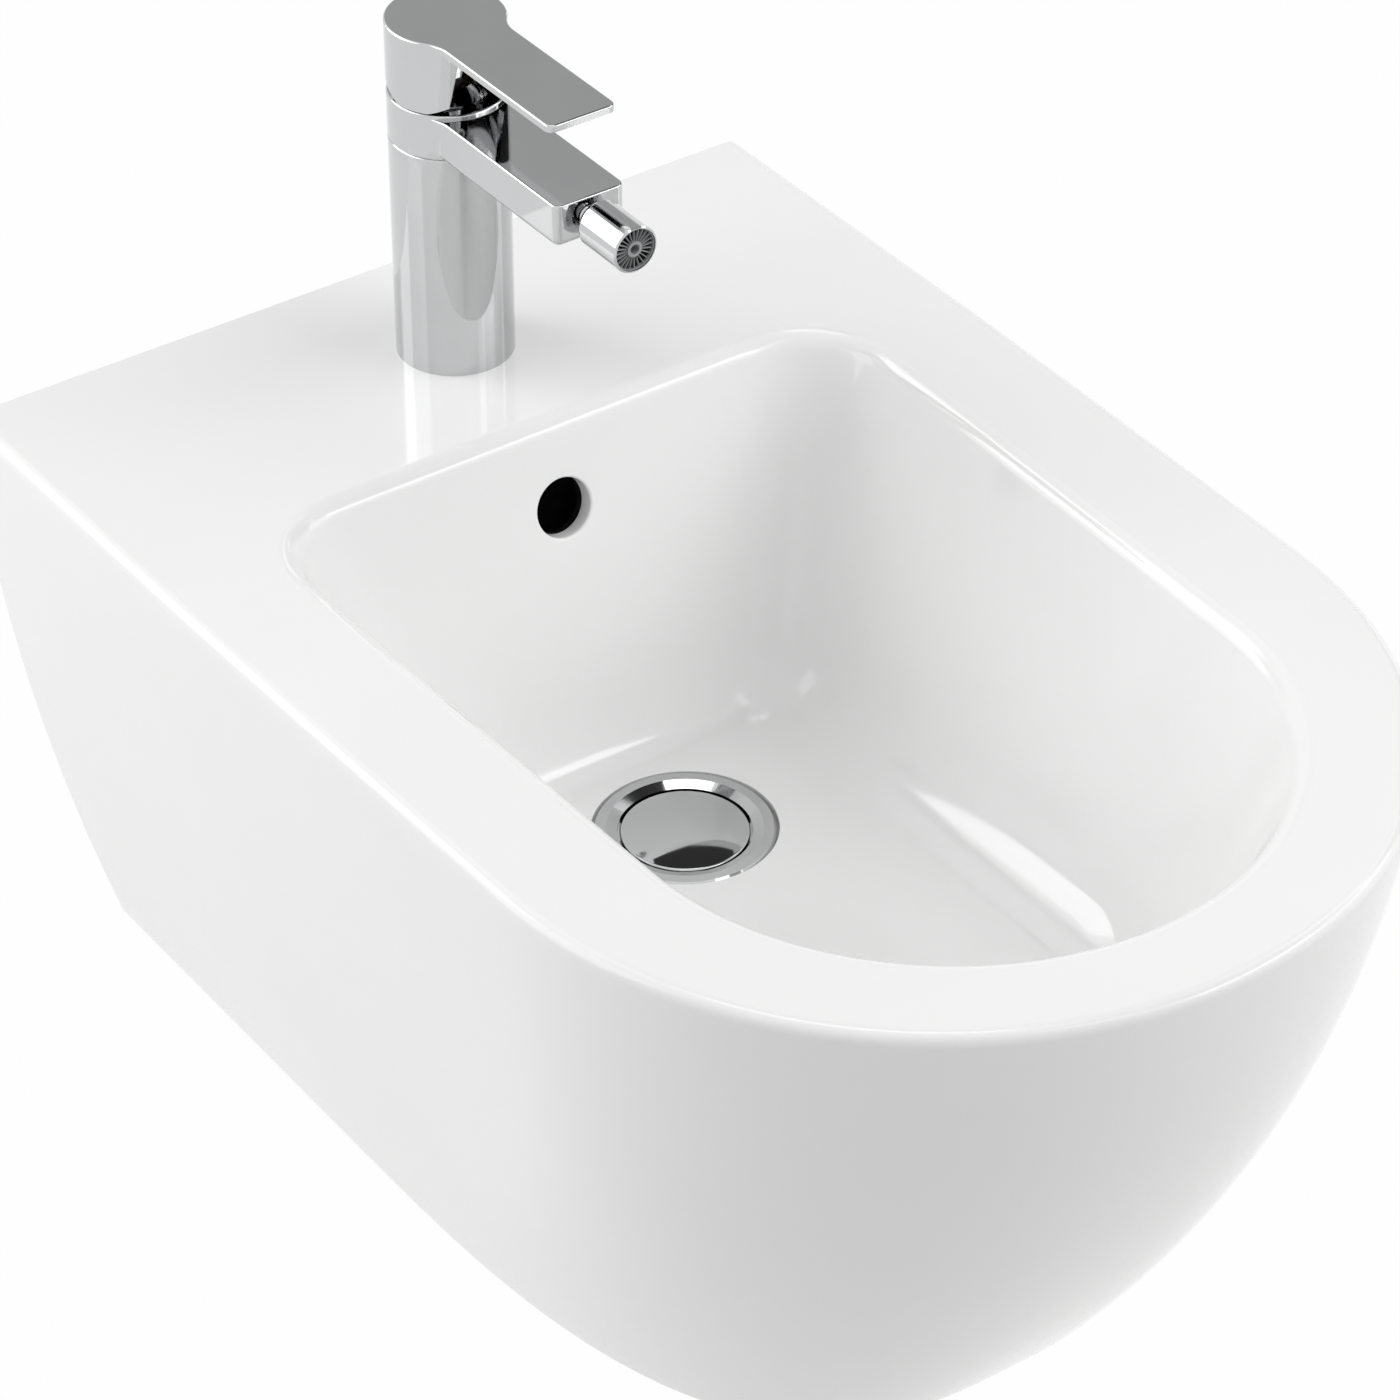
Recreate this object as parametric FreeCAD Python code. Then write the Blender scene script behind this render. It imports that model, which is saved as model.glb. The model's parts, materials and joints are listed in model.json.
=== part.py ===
import FreeCAD, Part
import math
import os

# Wall-hung bidet with a single-lever tap, a swivelling nozzle and a push-open waste.
# Millimetres. The wall is the plane Y = 0, the front looks along -Y, +X is to the
# right seen from the front, and the origin lies midway between the wall fixings.

# Ceramic body
FIXING_DROP = 80.0
FIXING_SPACING = 180.0
BODY_HEIGHT = 275.0
HALF_WIDTH_RIM = 187.5
HALF_WIDTH_MID = 169.7
HALF_WIDTH_BASE = 134.6
REACH_RIM = 559.0
REACH_MID = 520.7
REACH_BASE = 441.5
TURN_RIM = 372.0
TURN_BASE = 185.0
ROUND_RIM = 2.05
ROUND_BASE = 2.95
BELLY_BLEND = 3.4
TAPER_START = 150.0
TAPER_BLEND = 80.0
TAPER_SLOPE = 0.022
SKIN_STRIPS = 13
ROUND_STRIPS = 4
DECK = 14.0
REAR_WALL = 16.0
RIM_ROUND = 5.0
BASE_ROUND = 2.5
WALL_TRIM = 20.0
OPENING_HALF = 88.0
OPENING_DEPTH = 135.0
OPENING_CORNER = 30.0
CAVITY_HALF = 118.0
CAVITY_REACH = 300.0
CAVITY_CORNER = 40.0

# Bowl
BOWL_DEPTH = 145.0
BOWL_HALF_TOP = 135.2
BOWL_HALF_FLOOR = 92.0
BOWL_REAR_TOP = 135.2
BOWL_REAR_FLOOR = 171.5
BOWL_FRONT_TOP = 518.5
BOWL_FRONT_FLOOR = 459.5
BOWL_NOSE_TOP = 129.7
BOWL_NOSE_FLOOR = 88.2
BOWL_CORNER_TOP = 38.0
BOWL_CORNER_FLOOR = 34.0
BOWL_WALL = 11.0
BOWL_FLOOR = 23.0
BOWL_RIM_ROUND = 7.0
LIP_START = 12.0
BOWL_FLOOR_ROUND = 28.0
BOWL_REAR_ROUND = 13.0
FLOOR_FALL = 1.2

# Overflow
OVERFLOW_R = 12.5
OVERFLOW_DEPTH = 37.0
DUCT_HALF = 20.0
DUCT_GAP = 16.0
DUCT_WALL = 9.0
DUCT_TOP = 20.0
CHAMBER_HEIGHT = 14.0
CHAMBER_R = 36.0

# Waste
DRAIN_Y = 227.0
WASTE_HOLE_R = 23.0
WASTE_THREAD_R = 20.95
WASTE_WALL = 2.4
FLANGE_R = 36.8
FLANGE_THICK = 3.6
FLANGE_EDGE = 1.2
FLANGE_CLEAR = 1.0
FLANGE_BEVEL_R = 31.5
HUB_R = 30.0
HUB_HEIGHT = 7.5
TAIL_LENGTH = 78.0
OUTLET_R = 20.0
OUTLET_LENGTH = 26.0
SEAL_THICK = 1.5
SEAT_GAP = 0.2
SLOT_WIDTH = 9.0
SPIDER_DROP = 50.0
SPIDER_THICK = 5.0
SPOKE_HALF = 1.5
SPOKE_BITE = 0.5
SLOT_MARGIN = 2.0
SEAT_BEVEL = 2.0
LOCKNUT_R = 29.0
LOCKNUT_HEIGHT = 10.0
BOTTOM_SEAL_HEIGHT = 4.0
PLUG_R = 26.1
PLUG_GAP = 1.1
PLUG_EDGE = 2.2
PLUG_DOME = 2.4
PLUG_SINK = 1.6
STEM_COVER = 0.2
PLUG_SEAL_HEIGHT = 2.2
PLUG_SEAL_EDGE = 1.0
STEM_R = 3.6
CLICK_R = 7.5
CLICK_HEIGHT = 24.0
CLICK_FLOOR = 3.0

# Wall fixings
STUD_CLEAR_R = 6.5
SLEEVE_R = 9.8
SLEEVE_FLANGE_R = 14.0
SLEEVE_FLANGE = 3.0
FIX_WASHER_R = 17.0
FIX_WASHER = 2.5
FIX_NUT_FLATS = 19.0
FIX_NUT = 10.0
FIX_NUT_BORE_R = 6.3
NUT_BEVEL = 0.3
NUT_BEVEL_ANGLE = 30.0

# Tap column, spout and deck fastening
TAP_Y = 67.2
TAP_HOLE_R = 17.5
COLUMN_R = 24.1
COLUMN_EDGE = 0.8
COLUMN_HEIGHT = 99.0
COLUMN_BORE_R = 20.5
BLOCK_HEIGHT = 38.0
SEAT_HEIGHT = 72.0
GALLERY_R = 18.0
SPIGOT_R = 20.5
SPIGOT_HEIGHT = 6.0
GASKET_R = 22.8
GASKET_THICK = 1.5
INLET_R = 5.0
INLET_DEPTH = 14.0
INLET_HALF = 9.0
INLET_BACK = 5.0
INLET_WAY_R = 3.5
STUD_R = 4.0
STUD_FORWARD = 11.0
STUD_GRIP = 18.0
STUD_BEVEL = 0.8
STUD_TAIL = 70.0
PAD_R = 24.0
PAD_THICK = 3.0
HORSESHOE_THICK = 2.5
HOSE_CLEAR = 1.0
STUD_NUT_FLATS = 13.0
STUD_NUT = 11.0
SPOUT_TOP = 117.3
RING_TOP = 118.8
SPOUT_HALF = 16.0
SPOUT_REACH = 98.8
NECK_FILLET = 16.0
SPOUT_CORNER = 3.5
SPOUT_UNDER_ROUND = 3.3
SPOUT_EDGE = 0.8
NOZZLE_HEIGHT = 108.2
SPOUT_WAY_R = 4.2
SPOUT_WAY_HEIGHT = 107.0

# Nozzle
BALL_R = 6.0
BALL_BACK = 4.6
NOZZLE_BORE_R = 3.0
NOZZLE_NECK_R = 4.0
BARREL_R = 9.8
BARREL_START = 7.9
BARREL_REAR_R = 6.4
BARREL_SHOULDER = 3.0
BARREL_NOSE = 0.6
BARREL_END = 34.4
BARREL_BORE_R = 8.9
BARREL_STEP = 1.5
BARREL_REAR_WALL = 2.5
SLIP_THICK = 0.7
SLIP_HALF = 2.6
SOCKET_R = 7.5
SOCKET_LENGTH = 12.0
SOCKET_MOUTH_R = 5.5
SOCKET_FLARE = 1.2
SOCKET_SEAL = 1.5
SOCKET_SEAL_LIP = 0.8
AERATOR_DEPTH = 5.0
AERATOR_SINK = 0.6
AERATOR_HOLE_R = 2.2
AERATOR_HUB = 1.2
AERATOR_RIM = 0.6
AERATOR_FINS = 24
AERATOR_FIN = 0.45

# Cartridge
CART_SEAL = 1.5
CART_BASE = 6.5
CART_WAY_WALL = 1.5
DISC_THICK = 4.0
FIXED_DISC_R = 14.5
MOVING_DISC_R = 10.3
CARRIER_HEIGHT = 8.0
HOUSING_R = 16.2
HOUSING_BORE_R = 14.9
HOUSING_TOP_BORE_R = 10.9
HOUSING_HEIGHT = 33.0
HOUSING_COLLAR = 1.6
PORT_R = 3.0
PORT_HALF = 6.0
TURRET_FLANGE = 3.0
TURRET_FLANGE_RISE = 17.0
TURRET_R = 10.5
TURRET_TOP = 34.0
PIVOT_HEIGHT = 107.0
PIN_R = 1.6
PIN_INSET = 1.5
SPINDLE_HALF = 4.0
SPINDLE_TOP = 140.5
SPINDLE_ARM = 13.0
SPINDLE_STEM_R = 2.0
SPINDLE_BALL_R = 2.6
CART_NUT_R = 19.0
CART_NUT_BORE_R = 11.4
CART_NUT_NOTCH = 2.0
TRIM_R = 17.0
TRIM_RISE = 4.0
TRIM_SINK = 0.8
TRIM_LIP = 1.0

# Lever handle
HANDLE_GAP = 0.5
HANDLE_TOP = 150.0
HANDLE_WALL = 2.7
HANDLE_ROOF = 4.0
LEVER_HALF = 15.5
LEVER_REACH = 94.6
LEVER_THICK = 3.0
LEVER_CORNER = 3.5
LEVER_EDGE = 0.8
SLOT_HALF_TOP = 8.0
SLOT_HALF_FOOT = 12.5
SLOT_FLARE = 19.0
SLOT_FOOT_RISE = 3.0
REAR_CUT_ANGLE = 21.5
REAR_CUT_START = 2.0
BOSS_R = 8.0
BOSS_BOTTOM = 126.0
GRUB_R = 2.4
GRUB_HEIGHT = 134.0
GRUB_KEY_FLATS = 2.5
GRUB_KEY_DEPTH = 1.6
LIFT_ANGLE = 18.0

# Clearances
FIT = 0.05
RUN = 0.3
TOUCH = 0.05

# Places worked out from the sizes above
RIM_Z = FIXING_DROP
BASE_Z = RIM_Z - BODY_HEIGHT
SEAT_Z = RIM_Z - BOWL_DEPTH - FLANGE_THICK
FLANGE_TOP_Z = SEAT_Z + SEAT_GAP + FLANGE_THICK
HUB_Z = FLANGE_TOP_Z - FLANGE_THICK - HUB_HEIGHT
CHAMBER_TOP_Z = RIM_Z - BOWL_DEPTH - BOWL_FLOOR
LOWER_FLOOR_Z = CHAMBER_TOP_Z - CHAMBER_HEIGHT - DUCT_WALL
TAIL_Z = HUB_Z - TAIL_LENGTH
SPIDER_Z = HUB_Z - SPIDER_DROP
PLUG_SEAT_Z = FLANGE_TOP_Z - PLUG_SINK - PLUG_EDGE - PLUG_SEAL_HEIGHT
WASTE_BORE_R = WASTE_THREAD_R - WASTE_WALL
BALL_Y = -(TAP_Y + SPOUT_REACH - BALL_BACK)
CART_Z = RIM_Z + SEAT_HEIGHT
DISC_Z = CART_Z + CART_SEAL + CART_BASE
HOUSING_TOP_Z = DISC_Z + HOUSING_HEIGHT
PIVOT_Z = RIM_Z + PIVOT_HEIGHT
CARRIER_Z = DISC_Z + DISC_THICK + TOUCH + DISC_THICK
CAP_Z = RIM_Z + RING_TOP - TRIM_SINK
HANDLE_Z = RIM_Z + RING_TOP + HANDLE_GAP
LEAN = math.radians(LIFT_ANGLE)
TRIM_REACH = (CAP_Z + TRIM_RISE - PIVOT_Z) * math.tan(LEAN) + SPINDLE_HALF / math.cos(LEAN)
TRIM_MOUTH_R = math.hypot(TRIM_REACH, SPINDLE_HALF) + RUN


def vec(x, y, z):
    return FreeCAD.Vector(x, y, z)


def cylinder(radius, z0, z1, x=0.0, y=0.0):
    return Part.makeCylinder(radius, z1 - z0, vec(x, y, z0))


def cylinder_y(radius, y0, y1, x, z):
    return Part.makeCylinder(radius, y1 - y0, vec(x, y0, z), vec(0, 1, 0))


def tube(r_out, r_in, z0, z1, x=0.0, y=0.0):
    return cylinder(r_out, z0, z1, x, y).cut(cylinder(r_in, z0 - 1, z1 + 1, x, y))


def box(x0, x1, y0, y1, z0, z1):
    return Part.makeBox(x1 - x0, y1 - y0, z1 - z0, vec(x0, y0, z0))


def turned(profile, x=0.0, y=0.0):
    """A solid of revolution about the upright axis at x, y from (radius, height) points."""
    points = [vec(r, 0, z) for r, z in profile]
    face = Part.Face(Part.makePolygon(points + points[:1]))
    solid = face.revolve(vec(0, 0, 0), vec(0, 0, 1), 360)
    solid.translate(vec(x, y, 0))
    return solid


def hexagon(flats, z0, z1, x=0.0, y=0.0):
    radius = flats / math.sqrt(3)
    corners = [math.radians(60 * i + 30) for i in range(6)]
    points = [vec(x + radius * math.cos(a), y + radius * math.sin(a), z0) for a in corners]
    return Part.Face(Part.makePolygon(points + points[:1])).extrude(vec(0, 0, z1 - z0))


def hex_nut(flats, bore_r, z0, z1, x=0.0, y=0.0):
    """A hexagon nut with its corners bevelled at both faces."""
    face_r = flats / 2 - NUT_BEVEL
    reach = flats / math.sqrt(3) + NUT_BEVEL
    rise = (reach - face_r) * math.tan(math.radians(NUT_BEVEL_ANGLE))
    bevels = turned([(0, z0), (face_r, z0), (reach, z0 + rise),
                     (reach, z1 - rise), (face_r, z1), (0, z1)], x, y)
    nut = hexagon(flats, z0, z1, x, y).common(bevels)
    return nut.cut(cylinder(bore_r, z0 - 1, z1 + 1, x, y))


def arc(start, middle, end):
    return Part.Arc(start, middle, end).toShape()


def line(start, end):
    return Part.LineSegment(start, end).toShape()


def between(first, last, share):
    return first + (last - first) * share


def through_three(depth, at_rim, at_mid, at_base):
    """A smooth curve down the body through its size at the rim, half way and at the base."""
    s = depth / BODY_HEIGHT
    return (at_rim + (4 * at_mid - 3 * at_rim - at_base) * s
            + 2 * (at_rim - 2 * at_mid + at_base) * s * s)


def side_taper(y):
    """How far the rim's side has drawn in at a distance from the wall."""
    past = max(0.0, y - TAPER_START)
    return TAPER_SLOPE * past * past / (past + TAPER_BLEND)


def body_wire(depth, inset, rear_y):
    """The D-shaped outline of the body at a depth below the rim: easing sides, round front."""
    half = through_three(depth, HALF_WIDTH_RIM, HALF_WIDTH_MID, HALF_WIDTH_BASE) - inset
    reach = through_three(depth, REACH_RIM, REACH_MID, REACH_BASE) - inset
    share = (depth / BODY_HEIGHT) ** BELLY_BLEND
    turn = between(TURN_RIM, TURN_BASE, share)
    power = between(ROUND_RIM, ROUND_BASE, share)
    z = RIM_Z - depth
    steps = 7
    sides = [between(-rear_y, turn, i / steps) for i in range(steps)]
    right = [vec(half - side_taper(y) * (1 - share), -y, z) for y in sides]
    for i in range(steps):
        angle = math.radians(90.0 * i / steps)
        y = turn + (reach - turn) * math.sin(angle) ** (2 / power)
        x = (half - side_taper(y) * (1 - share)) * math.cos(angle) ** (2 / power)
        right.append(vec(x, -y, z))
    left = [vec(-p.x, p.y, p.z) for p in reversed(right)]
    points = right + [vec(0, -reach, z)] + left
    outline = Part.BSplineCurve()
    outline.interpolate(Points=points, Parameters=outline_steps(steps))
    return Part.Wire([outline.toShape(), line(points[-1], points[0])])


def outline_steps(steps):
    """How far along its outline each point lies, alike at every depth to keep the skin smooth."""
    side = TURN_RIM / steps
    bend = math.pi / 2 * HALF_WIDTH_RIM / steps
    right = [i * side for i in range(steps)]
    right += [steps * (side + bend * i / steps) for i in range(steps)]
    nose = steps * (side + bend)
    return right + [nose] + [2 * nose - t for t in reversed(right)]


def body_loft(rear_y):
    """The outer skin from under the rounded rim to the softened edge of the base, in narrow strips."""
    low = BODY_HEIGHT - BASE_ROUND
    depths = [between(RIM_ROUND, low, i / SKIN_STRIPS) for i in range(SKIN_STRIPS + 1)]
    wires = [body_wire(d, 0.0, rear_y) for d in depths]
    for angle in (math.radians(45), math.radians(90)):
        inset = BASE_ROUND * (1 - math.cos(angle))
        wires.append(body_wire(low + BASE_ROUND * math.sin(angle), inset, rear_y))
    return Part.makeLoft(wires, True, True)


def rim_loft(rear_y):
    """The rounded top edge of the body, from the flat rim out to its side."""
    wires = []
    for i in range(ROUND_STRIPS + 1):
        angle = math.radians(90 * i / ROUND_STRIPS)
        depth = RIM_ROUND * (1 - math.cos(angle))
        wires.append(body_wire(depth, RIM_ROUND * (1 - math.sin(angle)), rear_y))
    return Part.makeLoft(wires, True, True)


def bowl_wire(depth, grow, rear_grow):
    """The bowl's outline: straight rear edge with round corners, sides that draw in, round front."""
    share = depth / BOWL_DEPTH
    half = between(BOWL_HALF_TOP, BOWL_HALF_FLOOR, share) + grow
    rear = between(BOWL_REAR_TOP, BOWL_REAR_FLOOR, share) - rear_grow
    front = between(BOWL_FRONT_TOP, BOWL_FRONT_FLOOR, share) + grow
    nose = between(BOWL_NOSE_TOP, BOWL_NOSE_FLOOR, share) + grow
    corner = between(BOWL_CORNER_TOP, BOWL_CORNER_FLOOR, share) + grow
    z = RIM_Z - depth
    k = corner * (1 - math.sqrt(0.5))
    turn = -(rear + corner)
    run = front - nose + turn
    lean = math.acos(nose / math.hypot(half, run)) - math.atan2(run, half)
    bend_x = nose * math.cos(lean)
    bend_y = nose - front - nose * math.sin(lean)
    edges = [
        line(vec(corner - half, -rear, z), vec(half - corner, -rear, z)),
        arc(vec(half - corner, -rear, z), vec(half - k, -rear - k, z), vec(half, turn, z)),
        line(vec(half, turn, z), vec(bend_x, bend_y, z)),
        arc(vec(bend_x, bend_y, z), vec(0, -front, z), vec(-bend_x, bend_y, z)),
        line(vec(-bend_x, bend_y, z), vec(-half, turn, z)),
        arc(vec(-half, turn, z), vec(k - half, -rear - k, z), vec(corner - half, -rear, z)),
    ]
    return Part.Wire(edges)


def bowl_lip():
    """The flared mouth that rounds the rim over into the bowl."""
    first = math.radians(LIP_START)
    wires = []
    for i in range(ROUND_STRIPS + 1):
        angle = between(first, math.radians(90), i / ROUND_STRIPS)
        depth = BOWL_RIM_ROUND * (math.cos(first) - math.cos(angle))
        flare = BOWL_RIM_ROUND * (1 - math.sin(angle))
        wires.append(bowl_wire(depth, flare, flare))
    return Part.makeLoft(wires, True, True)


def floor_wire(angle, wall):
    """A step of the curve from the bowl's wall at 0 degrees to its tilted floor at 90."""
    turn = math.radians(angle)
    depth = BOWL_DEPTH - BOWL_FLOOR_ROUND * (1 - math.sin(turn)) + wall * math.sin(turn)
    side = wall * math.cos(turn)
    inset = 1 - math.cos(turn)
    wire = bowl_wire(depth, side - BOWL_FLOOR_ROUND * inset, side - BOWL_REAR_ROUND * inset)
    wire.rotate(vec(0, -DRAIN_Y, RIM_Z - depth), vec(1, 0, 0), -FLOOR_FALL * angle / 90)
    return wire


def bowl_solid():
    """The space inside the bowl, from its flared mouth to the floor that falls to the drain."""
    wires = [bowl_wire(0.0, 0.0, 0.0)]
    wires += [floor_wire(90 * i / ROUND_STRIPS, 0.0) for i in range(ROUND_STRIPS + 1)]
    return Part.makeLoft(wires, True, True).fuse(bowl_lip())


def bowl_shell():
    """The outside of the bowl as it hangs in the hollow body."""
    wires = [bowl_wire(0.0, BOWL_WALL, BOWL_WALL)]
    wires += [floor_wire(angle, BOWL_WALL) for angle in (0, 45, 90)]
    return Part.makeLoft(wires, True, True)


def duct_profile(grow, roof):
    """The overflow way seen from the side: down behind the bowl and under its floor."""
    slope = (BOWL_REAR_FLOOR - BOWL_REAR_TOP) / BOWL_DEPTH
    front_top = BOWL_REAR_TOP - BOWL_WALL + slope * DUCT_TOP
    front_low = BOWL_REAR_TOP - BOWL_WALL + slope * (RIM_Z - CHAMBER_TOP_Z)
    top = RIM_Z - DUCT_TOP + grow
    low = CHAMBER_TOP_Z - CHAMBER_HEIGHT - grow
    return [
        vec(0, -(front_top - DUCT_GAP) + grow, top),
        vec(0, -front_top - grow, top),
        vec(0, -front_low - grow, roof),
        vec(0, -DRAIN_Y, roof),
        vec(0, -DRAIN_Y, low),
        vec(0, -(front_low - DUCT_GAP) + grow, low),
    ]


def duct_solid(grow, roof):
    """The overflow way and the round chamber under the drain, or with grow their outside."""
    half = DUCT_HALF + grow
    points = [p + vec(-half, 0, 0) for p in duct_profile(grow, roof)]
    way = Part.Face(Part.makePolygon(points + points[:1])).extrude(vec(2 * half, 0, 0))
    low = CHAMBER_TOP_Z - CHAMBER_HEIGHT - grow
    chamber = cylinder(CHAMBER_R + grow, low, roof, 0, -DRAIN_Y)
    return way.fuse(chamber)


def rear_opening():
    """The arched opening in the rear wall that the waste pipe and supplies pass through."""
    top = RIM_Z - OPENING_DEPTH
    gate = box(-OPENING_HALF, OPENING_HALF, -REAR_WALL - 1, 1, BASE_Z - 1, top)
    upper = [e for e in gate.Edges if abs(e.CenterOfMass.z - top) < 1e-6
             and abs(abs(e.CenterOfMass.x) - OPENING_HALF) < 1e-6]
    return gate.makeFillet(OPENING_CORNER, upper)


def overflow_hole():
    slope = (BOWL_REAR_FLOOR - BOWL_REAR_TOP) / BOWL_DEPTH
    wall_y = -(BOWL_REAR_TOP + slope * OVERFLOW_DEPTH)
    normal = vec(0, 1, -slope)
    normal.normalize()
    start = vec(0, wall_y, RIM_Z - OVERFLOW_DEPTH) - normal * BOWL_WALL
    return Part.makeCylinder(OVERFLOW_R, 2 * BOWL_WALL + DUCT_GAP / 2, start, normal)


def service_cavity():
    """The space behind and under the bowl for the waste and the supplies, open below."""
    front = -CAVITY_REACH
    space = box(-CAVITY_HALF, CAVITY_HALF, front, -REAR_WALL, BASE_Z - 1, RIM_Z - DECK)
    upright = [e for e in space.Edges if abs(e.CenterOfMass.y - front) < 1e-6
               and abs(abs(e.CenterOfMass.x) - CAVITY_HALF) < 1e-6]
    space = space.makeFillet(CAVITY_CORNER, upright)
    outside = duct_solid(DUCT_WALL, RIM_Z - BOWL_DEPTH)
    return space.cut(bowl_shell().fuse(outside))


def ceramic_body():
    body = body_loft(WALL_TRIM).fuse(rim_loft(WALL_TRIM))
    big = 2 * HALF_WIDTH_RIM
    body = body.cut(box(-big, big, 0, 2 * WALL_TRIM, BASE_Z - 1, RIM_Z + 1))
    body = body.cut(bowl_solid())
    body = body.cut(service_cavity())
    body = body.cut(duct_solid(0.0, CHAMBER_TOP_Z))
    body = body.cut(overflow_hole())
    body = body.cut(rear_opening())
    seat = cylinder(FLANGE_R + FLANGE_CLEAR, SEAT_Z, SEAT_Z + 3 * FLANGE_THICK, 0, -DRAIN_Y)
    recess = cylinder(HUB_R + RUN, HUB_Z - SEAL_THICK, SEAT_Z + 1, 0, -DRAIN_Y)
    drain = cylinder(WASTE_HOLE_R, LOWER_FLOOR_Z - 1, SEAT_Z, 0, -DRAIN_Y)
    body = body.cut(seat.fuse(recess).fuse(drain))
    body = body.cut(cylinder(TAP_HOLE_R, RIM_Z - DECK - 1, RIM_Z + 1, 0, -TAP_Y))
    for side in (-1, 1):
        hole = cylinder_y(SLEEVE_R + FIT, -REAR_WALL - 1, 1, side * FIXING_SPACING / 2, 0)
        body = body.cut(hole)
    return body


def fixing_sleeve(x):
    back = -REAR_WALL
    sleeve = cylinder_y(SLEEVE_R, back, 0, x, 0)
    sleeve = sleeve.fuse(cylinder_y(SLEEVE_FLANGE_R, back - SLEEVE_FLANGE, back, x, 0))
    return sleeve.cut(cylinder_y(STUD_CLEAR_R, back - SLEEVE_FLANGE - 1, 1, x, 0))


def fixing_washer(x):
    back = -REAR_WALL - SLEEVE_FLANGE
    disc = cylinder_y(FIX_WASHER_R, back - FIX_WASHER, back, x, 0)
    return disc.cut(cylinder_y(STUD_CLEAR_R, back - FIX_WASHER - 1, back + 1, x, 0))


def fixing_nut(x):
    back = -REAR_WALL - SLEEVE_FLANGE - FIX_WASHER
    nut = hex_nut(FIX_NUT_FLATS, FIX_NUT_BORE_R, 0, FIX_NUT)
    nut.rotate(vec(0, 0, 0), vec(1, 0, 0), 90)
    nut.translate(vec(x, back, 0))
    return nut


def edges_at(solid, z):
    return [e for e in solid.Edges if abs(e.BoundBox.ZMin - z) < 1e-6 and abs(e.BoundBox.ZMax - z) < 1e-6]


def edged_bar(z0, z1, rounded):
    """A length of the column's round bar, with its edges softened at the heights given."""
    bar = cylinder(COLUMN_R, z0, z1, 0, -TAP_Y)
    return bar.makeFillet(COLUMN_EDGE, [e for z in rounded for e in edges_at(bar, z)])


def tap_column():
    top = RIM_Z + COLUMN_HEIGHT
    column = edged_bar(RIM_Z, top, [top])
    column = column.fuse(cylinder(SPIGOT_R, top - 1, top + SPIGOT_HEIGHT, 0, -TAP_Y))
    column = column.cut(cylinder(COLUMN_BORE_R, RIM_Z - 1, RIM_Z + BLOCK_HEIGHT, 0, -TAP_Y))
    column = column.cut(cylinder(GALLERY_R, CART_Z, top + SPIGOT_HEIGHT + 1, 0, -TAP_Y))
    column = column.cut(cylinder(GASKET_R, RIM_Z - 1, RIM_Z + GASKET_THICK, 0, -TAP_Y))
    block = RIM_Z + BLOCK_HEIGHT
    for side in (-1, 1):
        x = side * INLET_HALF
        y = INLET_BACK - TAP_Y
        column = column.cut(cylinder(INLET_R, block - 1, block + INLET_DEPTH, x, y))
        column = column.cut(cylinder(INLET_WAY_R, block, CART_Z + 1, x, y))
    y = -TAP_Y - STUD_FORWARD
    return column.cut(cylinder(STUD_R + FIT, block - 1, block + STUD_GRIP, 0, y))


def base_gasket():
    return tube(GASKET_R - RUN, COLUMN_BORE_R + RUN, RIM_Z, RIM_Z + GASKET_THICK, 0, -TAP_Y)


def mounting_stud():
    low = RIM_Z - STUD_TAIL
    top = RIM_Z + BLOCK_HEIGHT + STUD_GRIP
    bar = cylinder(STUD_R, low, top, 0, -TAP_Y - STUD_FORWARD)
    return bar.makeChamfer(STUD_BEVEL, edges_at(bar, low) + edges_at(bar, top))


def horseshoe(radius, z0, z1):
    """A flat horseshoe round the tap hole, open to the rear for the supplies."""
    plate = cylinder(radius, z0, z1, 0, -TAP_Y)
    half = INLET_HALF + INLET_R + HOSE_CLEAR
    front = INLET_BACK - INLET_R - HOSE_CLEAR - TAP_Y
    plate = plate.cut(box(-half, half, front, radius, z0 - 1, z1 + 1))
    return plate.cut(cylinder(STUD_R + RUN, z0 - 1, z1 + 1, 0, -TAP_Y - STUD_FORWARD))


def deck_pad():
    top = RIM_Z - DECK
    return horseshoe(PAD_R, top - PAD_THICK, top)


def deck_washer():
    top = RIM_Z - DECK - PAD_THICK
    return horseshoe(PAD_R, top - HORSESHOE_THICK, top)


def stud_nut():
    top = RIM_Z - DECK - PAD_THICK - HORSESHOE_THICK
    return hex_nut(STUD_NUT_FLATS, STUD_R + FIT, top - STUD_NUT, top, 0, -TAP_Y - STUD_FORWARD)


def keyhole(radius, half, reach, corner, z0, z1):
    """A round body with a straight arm to the front, joined by hollow fillets."""
    far = math.sqrt((radius + NECK_FILLET) ** 2 - (half + NECK_FILLET) ** 2)
    cx = half + NECK_FILLET
    on_ring = vec(cx, -far, 0) * (radius / (radius + NECK_FILLET))
    on_arm = vec(half, -far, 0)
    mid = on_ring + on_arm - vec(2 * cx, -2 * far, 0)
    mid = vec(cx, -far, 0) + mid * (NECK_FILLET / mid.Length)
    k = corner * (1 - math.sqrt(0.5))
    side = vec(half, corner - reach, 0)
    bend = vec(half - k, k - reach, 0)
    tip = vec(half - corner, -reach, 0)

    def other(p):
        return vec(-p.x, p.y, p.z)

    edges = [
        arc(on_ring, vec(0, radius, 0), other(on_ring)),
        arc(other(on_ring), other(mid), other(on_arm)),
        line(other(on_arm), other(side)),
        arc(other(side), other(bend), other(tip)),
        line(other(tip), tip),
        arc(tip, bend, side),
        line(side, on_arm),
        arc(on_arm, mid, on_ring),
    ]
    solid = Part.Face(Part.Wire(edges)).extrude(vec(0, 0, z1 - z0))
    solid.translate(vec(0, -TAP_Y, z0))
    return solid


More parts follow.
